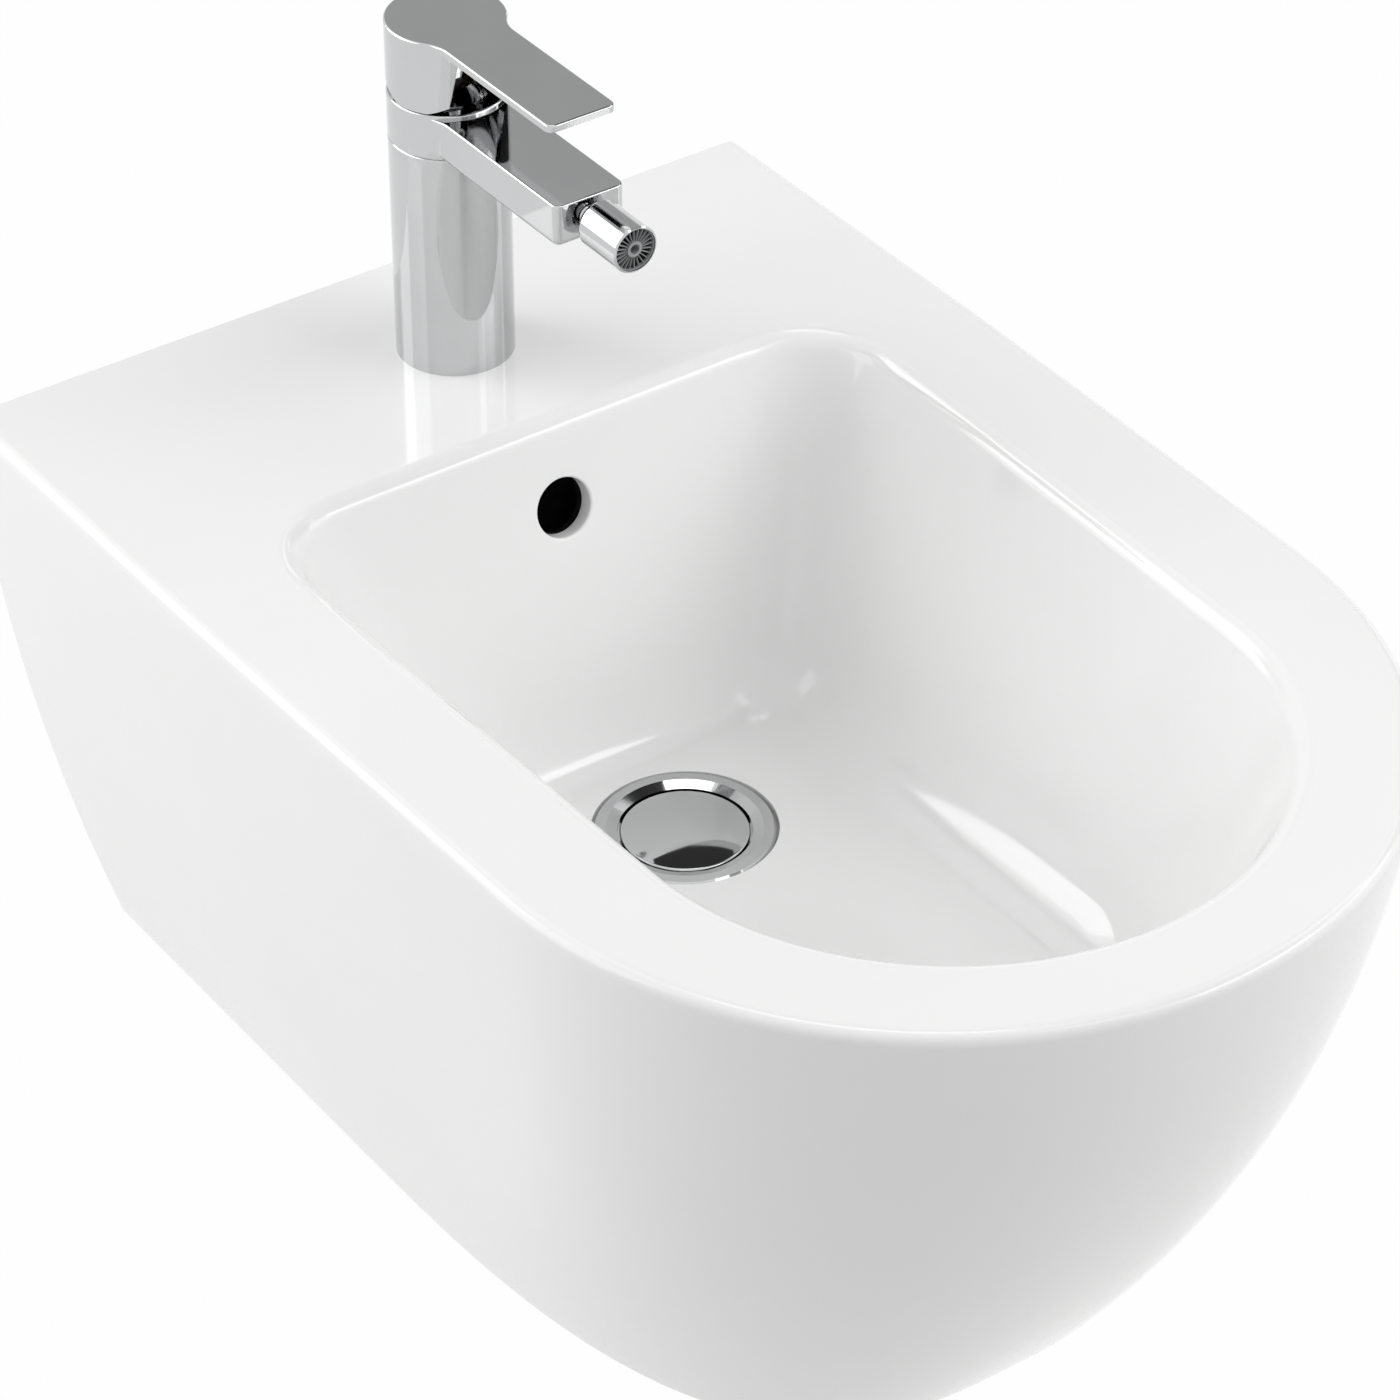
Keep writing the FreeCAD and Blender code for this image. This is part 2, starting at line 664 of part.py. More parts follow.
def spout_arm():
    """The arm's lower block, with rounded upright corners and a rounded underside."""
    z0 = RIM_Z + COLUMN_HEIGHT
    front = -TAP_Y - SPOUT_REACH
    arm = box(-SPOUT_HALF, SPOUT_HALF, front, -TAP_Y, z0, z0 + 2 * SPOUT_UNDER_ROUND)
    upright = [e for e in arm.Edges if abs(e.CenterOfMass.y - front) < 1e-6
               and abs(abs(e.CenterOfMass.x) - SPOUT_HALF) < 1e-6]
    arm = arm.makeFillet(SPOUT_CORNER, upright)
    under = [e for e in arm.Edges if abs(e.CenterOfMass.z - z0) < 1e-6
             and e.CenterOfMass.y < -TAP_Y - 1]
    return arm.makeFillet(SPOUT_UNDER_ROUND, under)


def tap_spout():
    z0 = RIM_Z + COLUMN_HEIGHT
    web = keyhole(COLUMN_R, SPOUT_HALF, SPOUT_REACH, SPOUT_CORNER,
                  z0 + SPOUT_UNDER_ROUND, RIM_Z + SPOUT_TOP)
    web = web.makeFillet(SPOUT_EDGE, edges_at(web, RIM_Z + SPOUT_TOP))
    ring = edged_bar(z0, RIM_Z + RING_TOP, [z0, RIM_Z + RING_TOP])
    spout = ring.fuse(web).fuse(spout_arm())
    spout = spout.removeSplitter()
    spout = spout.cut(cylinder(SPIGOT_R + FIT, z0 - 1, z0 + SPIGOT_HEIGHT, 0, -TAP_Y))
    spout = spout.cut(cylinder(GALLERY_R, z0, HOUSING_TOP_Z, 0, -TAP_Y))
    thread = HOUSING_TOP_Z - HOUSING_COLLAR
    spout = spout.cut(cylinder(CART_NUT_R + FIT, thread, RIM_Z + RING_TOP + 1, 0, -TAP_Y))
    front = -TAP_Y - SPOUT_REACH
    z = RIM_Z + NOZZLE_HEIGHT
    depth = SOCKET_LENGTH + SOCKET_SEAL
    spout = spout.cut(cylinder_y(SOCKET_R + FIT, front - 1, front + depth, 0, z))
    way_z = RIM_Z + SPOUT_WAY_HEIGHT
    return spout.cut(cylinder_y(SPOUT_WAY_R, front + 2, -TAP_Y - GALLERY_R + 3, 0, way_z))


def forward(solid):
    """Turn a solid built along +Z at the origin to point along -Y from the ball's centre."""
    solid.rotate(vec(0, 0, 0), vec(1, 0, 0), 90)
    solid.translate(vec(0, BALL_Y, RIM_Z + NOZZLE_HEIGHT))
    return solid


def nozzle_socket():
    front = BALL_BACK
    socket = cylinder(SOCKET_R, front - SOCKET_LENGTH, front)
    cup = Part.makeSphere(BALL_R + SLIP_THICK + 2 * RUN / 3)
    socket = socket.cut(cup)
    reach = SLIP_HALF + RUN
    rear = cylinder(BALL_R + SLIP_THICK + 2 * RUN / 3, front - SOCKET_LENGTH - 1, -1)
    mouth = Part.makeCone(SOCKET_MOUTH_R, SOCKET_MOUTH_R + SOCKET_FLARE, front - reach + 1, vec(0, 0, reach))
    return forward(socket.cut(rear).cut(mouth))


def socket_seal():
    back = BALL_BACK - SOCKET_LENGTH
    return forward(tube(SOCKET_R - RUN, SPOUT_WAY_R + SOCKET_SEAL_LIP, back - SOCKET_SEAL, back))


def slip_ring():
    zone = Part.makeSphere(BALL_R + SLIP_THICK).cut(Part.makeSphere(BALL_R + RUN / 3))
    band = cylinder(2 * BALL_R, -SLIP_HALF, SLIP_HALF)
    return forward(zone.common(band))


def nozzle_barrel():
    bend = BARREL_SHOULDER / 3
    waist = between(BARREL_REAR_R, BARREL_R, 0.7)
    barrel = turned([
        (0, BARREL_START), (BARREL_REAR_R, BARREL_START), (waist, BARREL_START + bend),
        (BARREL_R, BARREL_START + BARREL_SHOULDER), (BARREL_R, BARREL_END - BARREL_NOSE),
        (BARREL_R - BARREL_NOSE, BARREL_END), (0, BARREL_END)])
    neck = cylinder(NOZZLE_NECK_R, 0, BARREL_START + 1)
    nozzle = Part.makeSphere(BALL_R).fuse(neck).fuse(barrel)
    nozzle = nozzle.cut(cylinder(NOZZLE_BORE_R, -BALL_R - 1, BARREL_START + BARREL_REAR_WALL + 1))
    pocket = BARREL_END - AERATOR_SINK - AERATOR_DEPTH
    hollow_r = BARREL_BORE_R - BARREL_STEP
    nozzle = nozzle.cut(cylinder(hollow_r, BARREL_START + BARREL_REAR_WALL, BARREL_END))
    return forward(nozzle.cut(cylinder(BARREL_BORE_R, pocket, BARREL_END + 1)))


def aerator_insert():
    """The outlet disc: thin fins between a hub and a rim, round a middle hole."""
    top = BARREL_END - AERATOR_SINK
    low = top - AERATOR_DEPTH - 1
    disc = cylinder(BARREL_BORE_R - FIT, top - AERATOR_DEPTH, top)
    disc = disc.cut(cylinder(AERATOR_HOLE_R, low, top + 1))
    inner = AERATOR_HOLE_R + AERATOR_HUB
    outer = BARREL_BORE_R - AERATOR_RIM
    half_in, half_out = [r * math.pi / AERATOR_FINS - AERATOR_FIN / 2 for r in (inner, outer)]
    corners = [vec(inner, -half_in, low), vec(outer, -half_out, low),
               vec(outer, half_out, low), vec(inner, half_in, low)]
    gap = Part.Face(Part.makePolygon(corners + corners[:1])).extrude(vec(0, 0, AERATOR_DEPTH + 2))
    gaps = []
    for i in range(AERATOR_FINS):
        gap.rotate(vec(0, 0, 0), vec(0, 0, 1), 360.0 / AERATOR_FINS)
        gaps.append(gap.copy())
    return forward(disc.cut(Part.makeCompound(gaps)))


def ports(z0, z1):
    """The hot, cold and mixed ways through the cartridge, in line with the inlets."""
    ways = [cylinder(PORT_R, z0, z1, side * INLET_HALF, INLET_BACK - TAP_Y) for side in (-1, 1)]
    ways.append(cylinder(PORT_R, z0, z1, 0, -TAP_Y - PORT_HALF))
    return Part.makeCompound(ways)


def cartridge_seal():
    disc = cylinder(GALLERY_R - RUN, CART_Z, CART_Z + CART_SEAL, 0, -TAP_Y)
    return disc.cut(ports(CART_Z - 1, CART_Z + CART_SEAL + 1))


def cartridge_base():
    z0 = CART_Z + CART_SEAL
    base = cylinder(GALLERY_R - FIT, z0, DISC_Z, 0, -TAP_Y)
    base = base.cut(ports(z0 - 1, DISC_Z + 1))
    low = z0 + CART_WAY_WALL
    front = -TAP_Y - GALLERY_R - 1
    outlet = box(-PORT_R, PORT_R, front, -TAP_Y - PORT_HALF, low, DISC_Z - CART_WAY_WALL)
    rise = box(-PORT_R, PORT_R, front, -TAP_Y - HOUSING_R, low, DISC_Z + 1)
    return base.cut(outlet.fuse(rise))


def fixed_disc():
    disc = cylinder(FIXED_DISC_R, DISC_Z, DISC_Z + DISC_THICK, 0, -TAP_Y)
    return disc.cut(ports(DISC_Z - 1, DISC_Z + DISC_THICK + 1))


def moving_disc():
    z0 = DISC_Z + DISC_THICK + TOUCH
    disc = cylinder(MOVING_DISC_R, z0, z0 + DISC_THICK, 0, -TAP_Y)
    bridge = box(-PORT_HALF, PORT_HALF, -TAP_Y - PORT_HALF, -TAP_Y + PORT_R, z0 - 1, z0 + DISC_THICK / 2)
    return disc.cut(bridge)


def disc_carrier():
    carrier = cylinder(MOVING_DISC_R, CARRIER_Z, CARRIER_Z + CARRIER_HEIGHT, 0, -TAP_Y)
    ball = PIVOT_Z - SPINDLE_ARM
    radius = SPINDLE_BALL_R + RUN
    return carrier.cut(cylinder(radius, ball - radius, ball + 2 * CARRIER_HEIGHT, 0, -TAP_Y))


def cartridge_housing():
    shoulder = DISC_Z + TURRET_FLANGE_RISE + TURRET_FLANGE + RUN
    housing = cylinder(HOUSING_R, DISC_Z, HOUSING_TOP_Z, 0, -TAP_Y)
    collar = HOUSING_TOP_Z - HOUSING_COLLAR
    housing = housing.fuse(cylinder(GALLERY_R - FIT, collar, HOUSING_TOP_Z, 0, -TAP_Y))
    housing = housing.cut(cylinder(HOUSING_BORE_R, DISC_Z - 1, shoulder, 0, -TAP_Y))
    return housing.cut(cylinder(HOUSING_TOP_BORE_R, shoulder - 1, HOUSING_TOP_Z + 1, 0, -TAP_Y))


def turret():
    """The turning fork that carries the lever's pin between its two cheeks."""
    z0 = DISC_Z + TURRET_FLANGE_RISE
    body = cylinder(HOUSING_BORE_R - RUN, z0, z0 + TURRET_FLANGE, 0, -TAP_Y)
    body = body.fuse(cylinder(TURRET_R, z0 + TURRET_FLANGE - 1, DISC_Z + TURRET_TOP, 0, -TAP_Y))
    half = SPINDLE_HALF + RUN
    long = HOUSING_BORE_R
    above = DISC_Z + TURRET_TOP + 1
    fork = box(-half, half, -TAP_Y - long, -TAP_Y + long, z0 + TURRET_FLANGE, above)
    body = body.cut(fork)
    reach = SPINDLE_ARM * math.sin(LEAN) + SPINDLE_STEM_R + RUN
    body = body.cut(box(-SPINDLE_STEM_R - 2 * RUN, SPINDLE_STEM_R + 2 * RUN, -TAP_Y - reach,
                        -TAP_Y + SPINDLE_STEM_R + 2 * RUN, z0 - 1, above))
    pin = Part.makeCylinder(PIN_R + FIT, 4 * TURRET_R, vec(-2 * TURRET_R, -TAP_Y, PIVOT_Z), vec(1, 0, 0))
    return body.cut(pin)


def lever_pin():
    half = TURRET_R - PIN_INSET
    return Part.makeCylinder(PIN_R, 2 * half, vec(-half, -TAP_Y, PIVOT_Z), vec(1, 0, 0))


def lever_spindle():
    low = PIVOT_Z - SPINDLE_HALF
    ball = vec(0, -TAP_Y, PIVOT_Z - SPINDLE_ARM)
    stem = box(-SPINDLE_HALF, SPINDLE_HALF, -TAP_Y - SPINDLE_HALF, -TAP_Y + SPINDLE_HALF,
               low, RIM_Z + SPINDLE_TOP)
    stem = stem.fuse(cylinder(SPINDLE_STEM_R, ball.z, low + 1, 0, -TAP_Y))
    stem = stem.fuse(Part.makeSphere(SPINDLE_BALL_R, ball))
    start = vec(-2 * SPINDLE_HALF, -TAP_Y, PIVOT_Z)
    return stem.cut(Part.makeCylinder(PIN_R + FIT, 4 * SPINDLE_HALF, start, vec(1, 0, 0)))


def cartridge_nut():
    nut = tube(CART_NUT_R, CART_NUT_BORE_R, HOUSING_TOP_Z, CAP_Z, 0, -TAP_Y)
    notch = box(-CART_NUT_NOTCH, CART_NUT_NOTCH, -TAP_Y - CART_NUT_R - 1, -TAP_Y + CART_NUT_R + 1,
                CAP_Z - CART_NUT_NOTCH, CAP_Z + 1)
    cross = notch.copy()
    cross.rotate(vec(0, -TAP_Y, 0), vec(0, 0, 1), 90)
    return nut.cut(notch.fuse(cross))


def trim_cap():
    """The domed cover ring over the cartridge nut, open in the middle for the lever's stem."""
    lift = CAP_Z + TRIM_RISE
    edge = RIM_Z + RING_TOP
    return turned([
        (TRIM_MOUTH_R, lift), (TRIM_MOUTH_R, lift - TRIM_LIP), (CART_NUT_BORE_R, CAP_Z),
        (CART_NUT_R - RUN, CAP_Z), (CART_NUT_R - RUN, edge), (TRIM_R, edge)], 0, -TAP_Y)


def handle_slot(z1):
    """The tapering opening in the front of the skirt, wider at its foot."""
    z0 = HANDLE_Z - 1
    foot = HANDLE_Z + SLOT_FOOT_RISE
    shape = [(SLOT_FLARE, z0), (SLOT_FLARE, HANDLE_Z), (SLOT_HALF_FOOT, foot), (SLOT_HALF_TOP, z1)]
    points = [vec(x, 0, z) for x, z in shape] + [vec(-x, 0, z) for x, z in reversed(shape)]
    face = Part.Face(Part.makePolygon(points + points[:1]))
    slot = face.extrude(vec(0, -2 * COLUMN_R, 0))
    slot.translate(vec(0, -TAP_Y, 0))
    return slot


def rear_cut():
    """Everything under a plane that rises to the rear, so the skirt clears the ring when lifted."""
    size = 4 * COLUMN_R
    wedge = box(-size, size, 0, size, -size, 0)
    wedge.rotate(vec(0, 0, 0), vec(1, 0, 0), REAR_CUT_ANGLE)
    wedge.translate(vec(0, -TAP_Y - REAR_CUT_START, HANDLE_Z))
    return wedge


def lever_handle():
    top = RIM_Z + HANDLE_TOP
    roof = top - HANDLE_ROOF
    skirt = cylinder(COLUMN_R, HANDLE_Z, top, 0, -TAP_Y)
    skirt = skirt.cut(cylinder(COLUMN_R - HANDLE_WALL, HANDLE_Z - 1, roof, 0, -TAP_Y))
    skirt = skirt.cut(handle_slot(roof)).cut(rear_cut())
    lever = keyhole(COLUMN_R, LEVER_HALF, LEVER_REACH, LEVER_CORNER, top - LEVER_THICK, top)
    boss = cylinder(BOSS_R, RIM_Z + BOSS_BOTTOM, roof + 1, 0, -TAP_Y)
    handle = skirt.fuse(lever).fuse(boss).removeSplitter()
    handle = handle.makeFillet(LEVER_EDGE, edges_at(handle, top))
    half = SPINDLE_HALF + FIT
    socket = box(-half, half, -TAP_Y - half, -TAP_Y + half,
                 RIM_Z + BOSS_BOTTOM - 1, RIM_Z + SPINDLE_TOP + FIT)
    handle = handle.cut(socket)
    screw = cylinder_y(GRUB_R + FIT, -TAP_Y - BOSS_R - 1, -TAP_Y, 0, RIM_Z + GRUB_HEIGHT)
    return handle.cut(screw)


def handle_grub_screw():
    z = RIM_Z + GRUB_HEIGHT
    screw = cylinder_y(GRUB_R, -TAP_Y - BOSS_R, -TAP_Y - SPINDLE_HALF, 0, z)
    key = hexagon(GRUB_KEY_FLATS, -1, GRUB_KEY_DEPTH)
    key.rotate(vec(0, 0, 0), vec(1, 0, 0), -90)
    key.translate(vec(0, -TAP_Y - BOSS_R, z))
    return screw.cut(key)


def waste_body():
    """The waste: bevelled flange, hub, threaded tail and the spider that holds the plug's latch."""
    under = FLANGE_TOP_Z - FLANGE_THICK
    well = PLUG_R + PLUG_GAP
    wall = WASTE_BORE_R
    body = turned([
        (OUTLET_R, TAIL_Z), (OUTLET_R, TAIL_Z + OUTLET_LENGTH),
        (WASTE_THREAD_R, TAIL_Z + OUTLET_LENGTH), (WASTE_THREAD_R, HUB_Z), (HUB_R, HUB_Z), (HUB_R, under),
        (FLANGE_R, under), (FLANGE_R, FLANGE_TOP_Z - FLANGE_EDGE), (FLANGE_R - FLANGE_EDGE, FLANGE_TOP_Z),
        (FLANGE_BEVEL_R, FLANGE_TOP_Z), (well, FLANGE_TOP_Z - PLUG_SINK), (well, PLUG_SEAT_Z),
        (wall + SEAT_BEVEL, PLUG_SEAT_Z), (wall, PLUG_SEAT_Z - SEAT_BEVEL), (wall, TAIL_Z)], 0, -DRAIN_Y)
    low = CHAMBER_TOP_Z - CHAMBER_HEIGHT + SLOT_MARGIN
    high = CHAMBER_TOP_Z - SLOT_MARGIN
    half = SLOT_WIDTH / 2
    slot = box(-WASTE_HOLE_R, WASTE_HOLE_R, -half - DRAIN_Y, half - DRAIN_Y, low, high)
    other = slot.copy()
    other.rotate(vec(0, -DRAIN_Y, 0), vec(0, 0, 1), 90)
    body = body.cut(slot.fuse(other))
    spokes = cylinder(CLICK_R + 1, SPIDER_Z - SPIDER_THICK, SPIDER_Z, 0, -DRAIN_Y)
    for i in range(3):
        spoke = box(0, wall + SPOKE_BITE, -SPOKE_HALF, SPOKE_HALF, SPIDER_Z - SPIDER_THICK, SPIDER_Z)
        spoke.rotate(vec(0, 0, 0), vec(0, 0, 1), 120.0 * i + 90)
        spoke.translate(vec(0, -DRAIN_Y, 0))
        spokes = spokes.fuse(spoke)
    return body.fuse(spokes)


def waste_top_seal():
    return tube(HUB_R, WASTE_THREAD_R + RUN, HUB_Z - SEAL_THICK, HUB_Z, 0, -DRAIN_Y)


def waste_bottom_seal():
    top = LOWER_FLOOR_Z
    return tube(LOCKNUT_R, WASTE_THREAD_R + FIT, top - BOTTOM_SEAL_HEIGHT, top, 0, -DRAIN_Y)


def waste_locknut():
    top = LOWER_FLOOR_Z - BOTTOM_SEAL_HEIGHT
    return hex_nut(2 * LOCKNUT_R, WASTE_THREAD_R + FIT, top - LOCKNUT_HEIGHT, top, 0, -DRAIN_Y)


def click_housing():
    housing = tube(CLICK_R, STEM_R + RUN, SPIDER_Z, SPIDER_Z + CLICK_HEIGHT, 0, -DRAIN_Y)
    floor = cylinder(CLICK_R, SPIDER_Z, SPIDER_Z + CLICK_FLOOR, 0, -DRAIN_Y)
    return housing.fuse(floor).removeSplitter()


def plug_cap():
    edge = FLANGE_TOP_Z - PLUG_SINK
    rise = PLUG_DOME
    radius = (PLUG_R * PLUG_R + rise * rise) / (2 * rise)
    dome = Part.makeSphere(radius, vec(0, -DRAIN_Y, edge + rise - radius))
    cap = cylinder(PLUG_R, edge - PLUG_EDGE, edge + rise + 1, 0, -DRAIN_Y).common(dome)
    return cap.cut(cylinder(STEM_R + FIT, edge - PLUG_EDGE - 1, edge - STEM_COVER, 0, -DRAIN_Y))


def plug_seal():
    under = FLANGE_TOP_Z - PLUG_SINK - PLUG_EDGE
    inner = WASTE_BORE_R + SEAT_BEVEL + PLUG_SEAL_EDGE
    return tube(PLUG_R - PLUG_SEAL_EDGE, inner, PLUG_SEAT_Z + TOUCH, under, 0, -DRAIN_Y)


def plug_stem():
    top = FLANGE_TOP_Z - PLUG_SINK - STEM_COVER
    return cylinder(STEM_R, SPIDER_Z + CLICK_FLOOR + TOUCH, top, 0, -DRAIN_Y)


def save(name, shape):
    shape.exportStep("parts/" + name + ".step")


def main():
    os.makedirs("parts", exist_ok=True)
    save("ceramic_body", ceramic_body())
    for word, side in (("left", -1), ("right", 1)):
        x = side * FIXING_SPACING / 2
        save("fixing_sleeve_" + word, fixing_sleeve(x))
        save("fixing_washer_" + word, fixing_washer(x))
        save("fixing_nut_" + word, fixing_nut(x))
    pieces = (
        tap_column, base_gasket, mounting_stud, deck_pad, deck_washer, stud_nut, tap_spout,
        cartridge_seal, cartridge_base, fixed_disc, moving_disc, disc_carrier, cartridge_housing,
        turret, lever_pin, lever_spindle, cartridge_nut, trim_cap, lever_handle, handle_grub_screw,
        nozzle_socket, socket_seal, slip_ring, nozzle_barrel, aerator_insert,
        waste_body, waste_top_seal, waste_bottom_seal, waste_locknut,
        click_housing, plug_cap, plug_seal, plug_stem)
    for piece in pieces:
        save(piece.__name__, piece())


main()
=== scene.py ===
import json
import math

import bmesh
import bpy
from mathutils import Matrix, Vector

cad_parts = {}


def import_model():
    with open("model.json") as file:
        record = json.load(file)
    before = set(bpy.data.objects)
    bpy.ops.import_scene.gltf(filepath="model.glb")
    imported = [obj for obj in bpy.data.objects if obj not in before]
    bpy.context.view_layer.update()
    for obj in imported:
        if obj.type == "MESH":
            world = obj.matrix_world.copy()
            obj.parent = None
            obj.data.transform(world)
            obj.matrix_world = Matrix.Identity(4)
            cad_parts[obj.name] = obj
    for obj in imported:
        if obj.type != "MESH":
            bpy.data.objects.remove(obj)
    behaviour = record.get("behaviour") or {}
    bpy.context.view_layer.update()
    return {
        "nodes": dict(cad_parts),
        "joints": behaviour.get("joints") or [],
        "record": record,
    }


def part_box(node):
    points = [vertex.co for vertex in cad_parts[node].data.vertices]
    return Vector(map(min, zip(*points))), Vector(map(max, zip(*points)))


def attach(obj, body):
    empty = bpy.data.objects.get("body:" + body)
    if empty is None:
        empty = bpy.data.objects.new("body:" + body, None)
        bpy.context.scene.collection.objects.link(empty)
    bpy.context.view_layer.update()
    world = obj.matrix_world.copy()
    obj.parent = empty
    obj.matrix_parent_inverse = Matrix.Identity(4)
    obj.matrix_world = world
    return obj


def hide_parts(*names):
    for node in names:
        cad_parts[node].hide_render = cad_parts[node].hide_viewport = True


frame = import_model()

# Wall-hung bidet with its tap and waste, in metres: the wall is Y = 0 and the front looks along -Y.

MM = 0.001
UP = Vector((0, 0, 1))

# Places taken from the frame
JOINTS = {joint["name"]: joint for joint in frame["joints"]}
RIM_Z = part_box("ceramic_body")[1].z
BASE_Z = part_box("ceramic_body")[0].z
TAP = Vector(JOINTS["handle_swivel"]["pos_m"])
BALL = Vector(JOINTS["nozzle_tilt"]["pos_m"])
PLUG_LOW, PLUG_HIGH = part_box("plug_cap")
DRAIN = (PLUG_LOW + PLUG_HIGH) / 2

# Outside of the ceramic body, as in the solids: sizes at the rim, half way down and at the base
BODY_HEIGHT = RIM_Z - BASE_Z
HALF_WIDTHS = (187.5 * MM, 169.7 * MM, 134.6 * MM)
REACHES = (559.0 * MM, 520.7 * MM, 441.5 * MM)
TURN_RIM = 372.0 * MM
TURN_BASE = 185.0 * MM
ROUND_RIM = 2.05
ROUND_BASE = 2.95
BELLY_BLEND = 3.4
TAPER_START = 150.0 * MM
TAPER_BLEND = 80.0 * MM
TAPER_SLOPE = 0.022
RIM_ROUND = 5.0 * MM
BASE_ROUND = 2.5 * MM

# Bowl: sizes at the rim and at the floor, angles in degrees
BOWL_DEPTH = 145.0 * MM
BOWL_HALVES = (135.2 * MM, 92.0 * MM)
BOWL_REARS = (135.2 * MM, 171.5 * MM)
BOWL_FRONTS = (518.5 * MM, 459.5 * MM)
BOWL_NOSES = (129.7 * MM, 88.2 * MM)
BOWL_CORNERS = (38.0 * MM, 34.0 * MM)
BOWL_WALL = 11.0 * MM
BOWL_RIM_ROUND = 7.0 * MM
LIP_START = 12.0
BOWL_FLOOR_ROUND = 28.0 * MM
BOWL_REAR_ROUND = 13.0 * MM
FLOOR_FALL = 1.2
REAR_SLOPE = (BOWL_REARS[1] - BOWL_REARS[0]) / BOWL_DEPTH

# Openings and hollows of the ceramic body
SEAT_R = 37.8 * MM
SEAT_DEPTH = 3.6 * MM
DRAIN_HOLE_R = 23.0 * MM
HUB_HOLE_R = 30.3 * MM
HUB_DEPTH = 12.4 * MM
TAP_HOLE_R = 17.5 * MM
OVERFLOW_R = 12.5 * MM
OVERFLOW_DEPTH = 37.0 * MM
OVERFLOW_EDGE = 1.2 * MM
OVERFLOW_GLAZED = 7.0 * MM
DUCT_HALF = 20.0 * MM
DUCT_GAP = 16.0 * MM
DUCT_WALL = 9.0 * MM
DUCT_TOP = 20.0 * MM
CHAMBER_TOP_Z = RIM_Z - BOWL_DEPTH - 23.0 * MM
CHAMBER_HEIGHT = 14.0 * MM
CHAMBER_R = 36.0 * MM
DECK = 14.0 * MM
REAR_WALL = 16.0 * MM
CAVITY_HALF = 118.0 * MM
CAVITY_REACH = 300.0 * MM
CAVITY_CORNER = 40.0 * MM
CAVITY_BACK_CORNER = 0.2 * MM
OPENING_HALF = 88.0 * MM
OPENING_DEPTH = 135.0 * MM
OPENING_CORNER = 30.0 * MM
FIXING_HALF = 90.0 * MM
SLEEVE_HOLE_R = 9.85 * MM

# Nozzle outlet: the fins' half thickness at the hub and at the rim
OUTLET_HOLE_R = 2.0 * MM
OUTLET_HUB_R = 3.3 * MM
OUTLET_RIM = 0.4 * MM
OUTLET_BACK = 3.4 * MM
FIN_COUNT = 24
FIN_HALVES = (0.12 * MM, 0.20 * MM)
FIN_SINK = 0.4 * MM
SMALL_EDGE = 0.12 * MM

# Plug and stud
PLUG_RISE = 2.4 * MM
PLUG_ROUND = 1.0 * MM
PLUG_CORE_R = 1.0 * MM
THREAD_PITCH = 1.25 * MM
THREAD_DEPTH = 0.6 * MM
THREAD_LEAD = 0.9 * MM

# How finely the outlines are divided, from the back middle to the front middle
BACK_STEPS = 12
CORNER_STEPS = 8
SIDE_STEPS = 24
FRONT_STEPS = 40

# How finely everything else is divided
SKIN_RINGS = 24
EDGE_RINGS = 7
WALL_RINGS = 8
FLOOR_RINGS = 12
DRAIN_RINGS = 6
SHELL_RINGS = 8
DOME_RINGS = 14
ARC_STEPS = 8
BAR_STEPS = 64
LATHE_STEPS = 96
DOME_STEPS = 128
THREAD_ROWS = 6
THREAD_STEPS = 24

# Allowances: SUPPORT is the flat beside a rounded edge, PAST_ is how far a cutter reaches past a face
SUPPORT = 0.8 * MM
PAST_FACE = 5.0 * MM
PAST_WALL = 2.0 * MM
NEAR_FACE = 0.1 * MM
SAME_POINT = 0.002 * MM
ROUNDING = 0.001 * MM
SHARP_ANGLE = 35.0


# Outlines

def between(first, last, share):
    return first + (last - first) * share


def quarter_turn(step, steps):
    return math.pi / 2 * step / steps


def through_three(depth, sizes):
    """A smooth curve down the body through its size at the rim, half way and at the base."""
    at_rim, at_mid, at_base = sizes
    s = depth / BODY_HEIGHT
    return (at_rim + (4 * at_mid - 3 * at_rim - at_base) * s
            + 2 * (at_rim - 2 * at_mid + at_base) * s * s)


def mirrored(half):
    """A full ring from the points of its right half, back middle first and front middle last."""
    return half + [Vector((-p.x, p.y, p.z)) for p in reversed(half[1:-1])]


def side_taper(y):
    """How far the rim's side has drawn in at a distance from the wall."""
    past = max(0.0, y - TAPER_START)
    return TAPER_SLOPE * past * past / (past + TAPER_BLEND)


def body_ring(depth, inset, rear=0.0):
    """The D-shaped outline of the body at a depth below the rim."""
    half = through_three(depth, HALF_WIDTHS) - inset
    reach = through_three(depth, REACHES) - inset
    share = (depth / BODY_HEIGHT) ** BELLY_BLEND
    turn = between(TURN_RIM, TURN_BASE, share)
    power = between(ROUND_RIM, ROUND_BASE, share)
    z = RIM_Z - depth
    back_steps = BACK_STEPS + CORNER_STEPS
    points = [Vector((half * i / back_steps, -rear, z)) for i in range(back_steps)]
    sides = [between(rear, turn, i / SIDE_STEPS) for i in range(SIDE_STEPS)]
    points += [Vector((half - side_taper(y) * (1 - share), -y, z)) for y in sides]
    for i in range(FRONT_STEPS):
        angle = quarter_turn(i, FRONT_STEPS)
        y = turn + (reach - turn) * math.sin(angle) ** (2 / power)
        x = (half - side_taper(y) * (1 - share)) * math.cos(angle) ** (2 / power)
        points.append(Vector((x, -y, z)))
    points.append(Vector((0, -reach, z)))
    return mirrored(points)


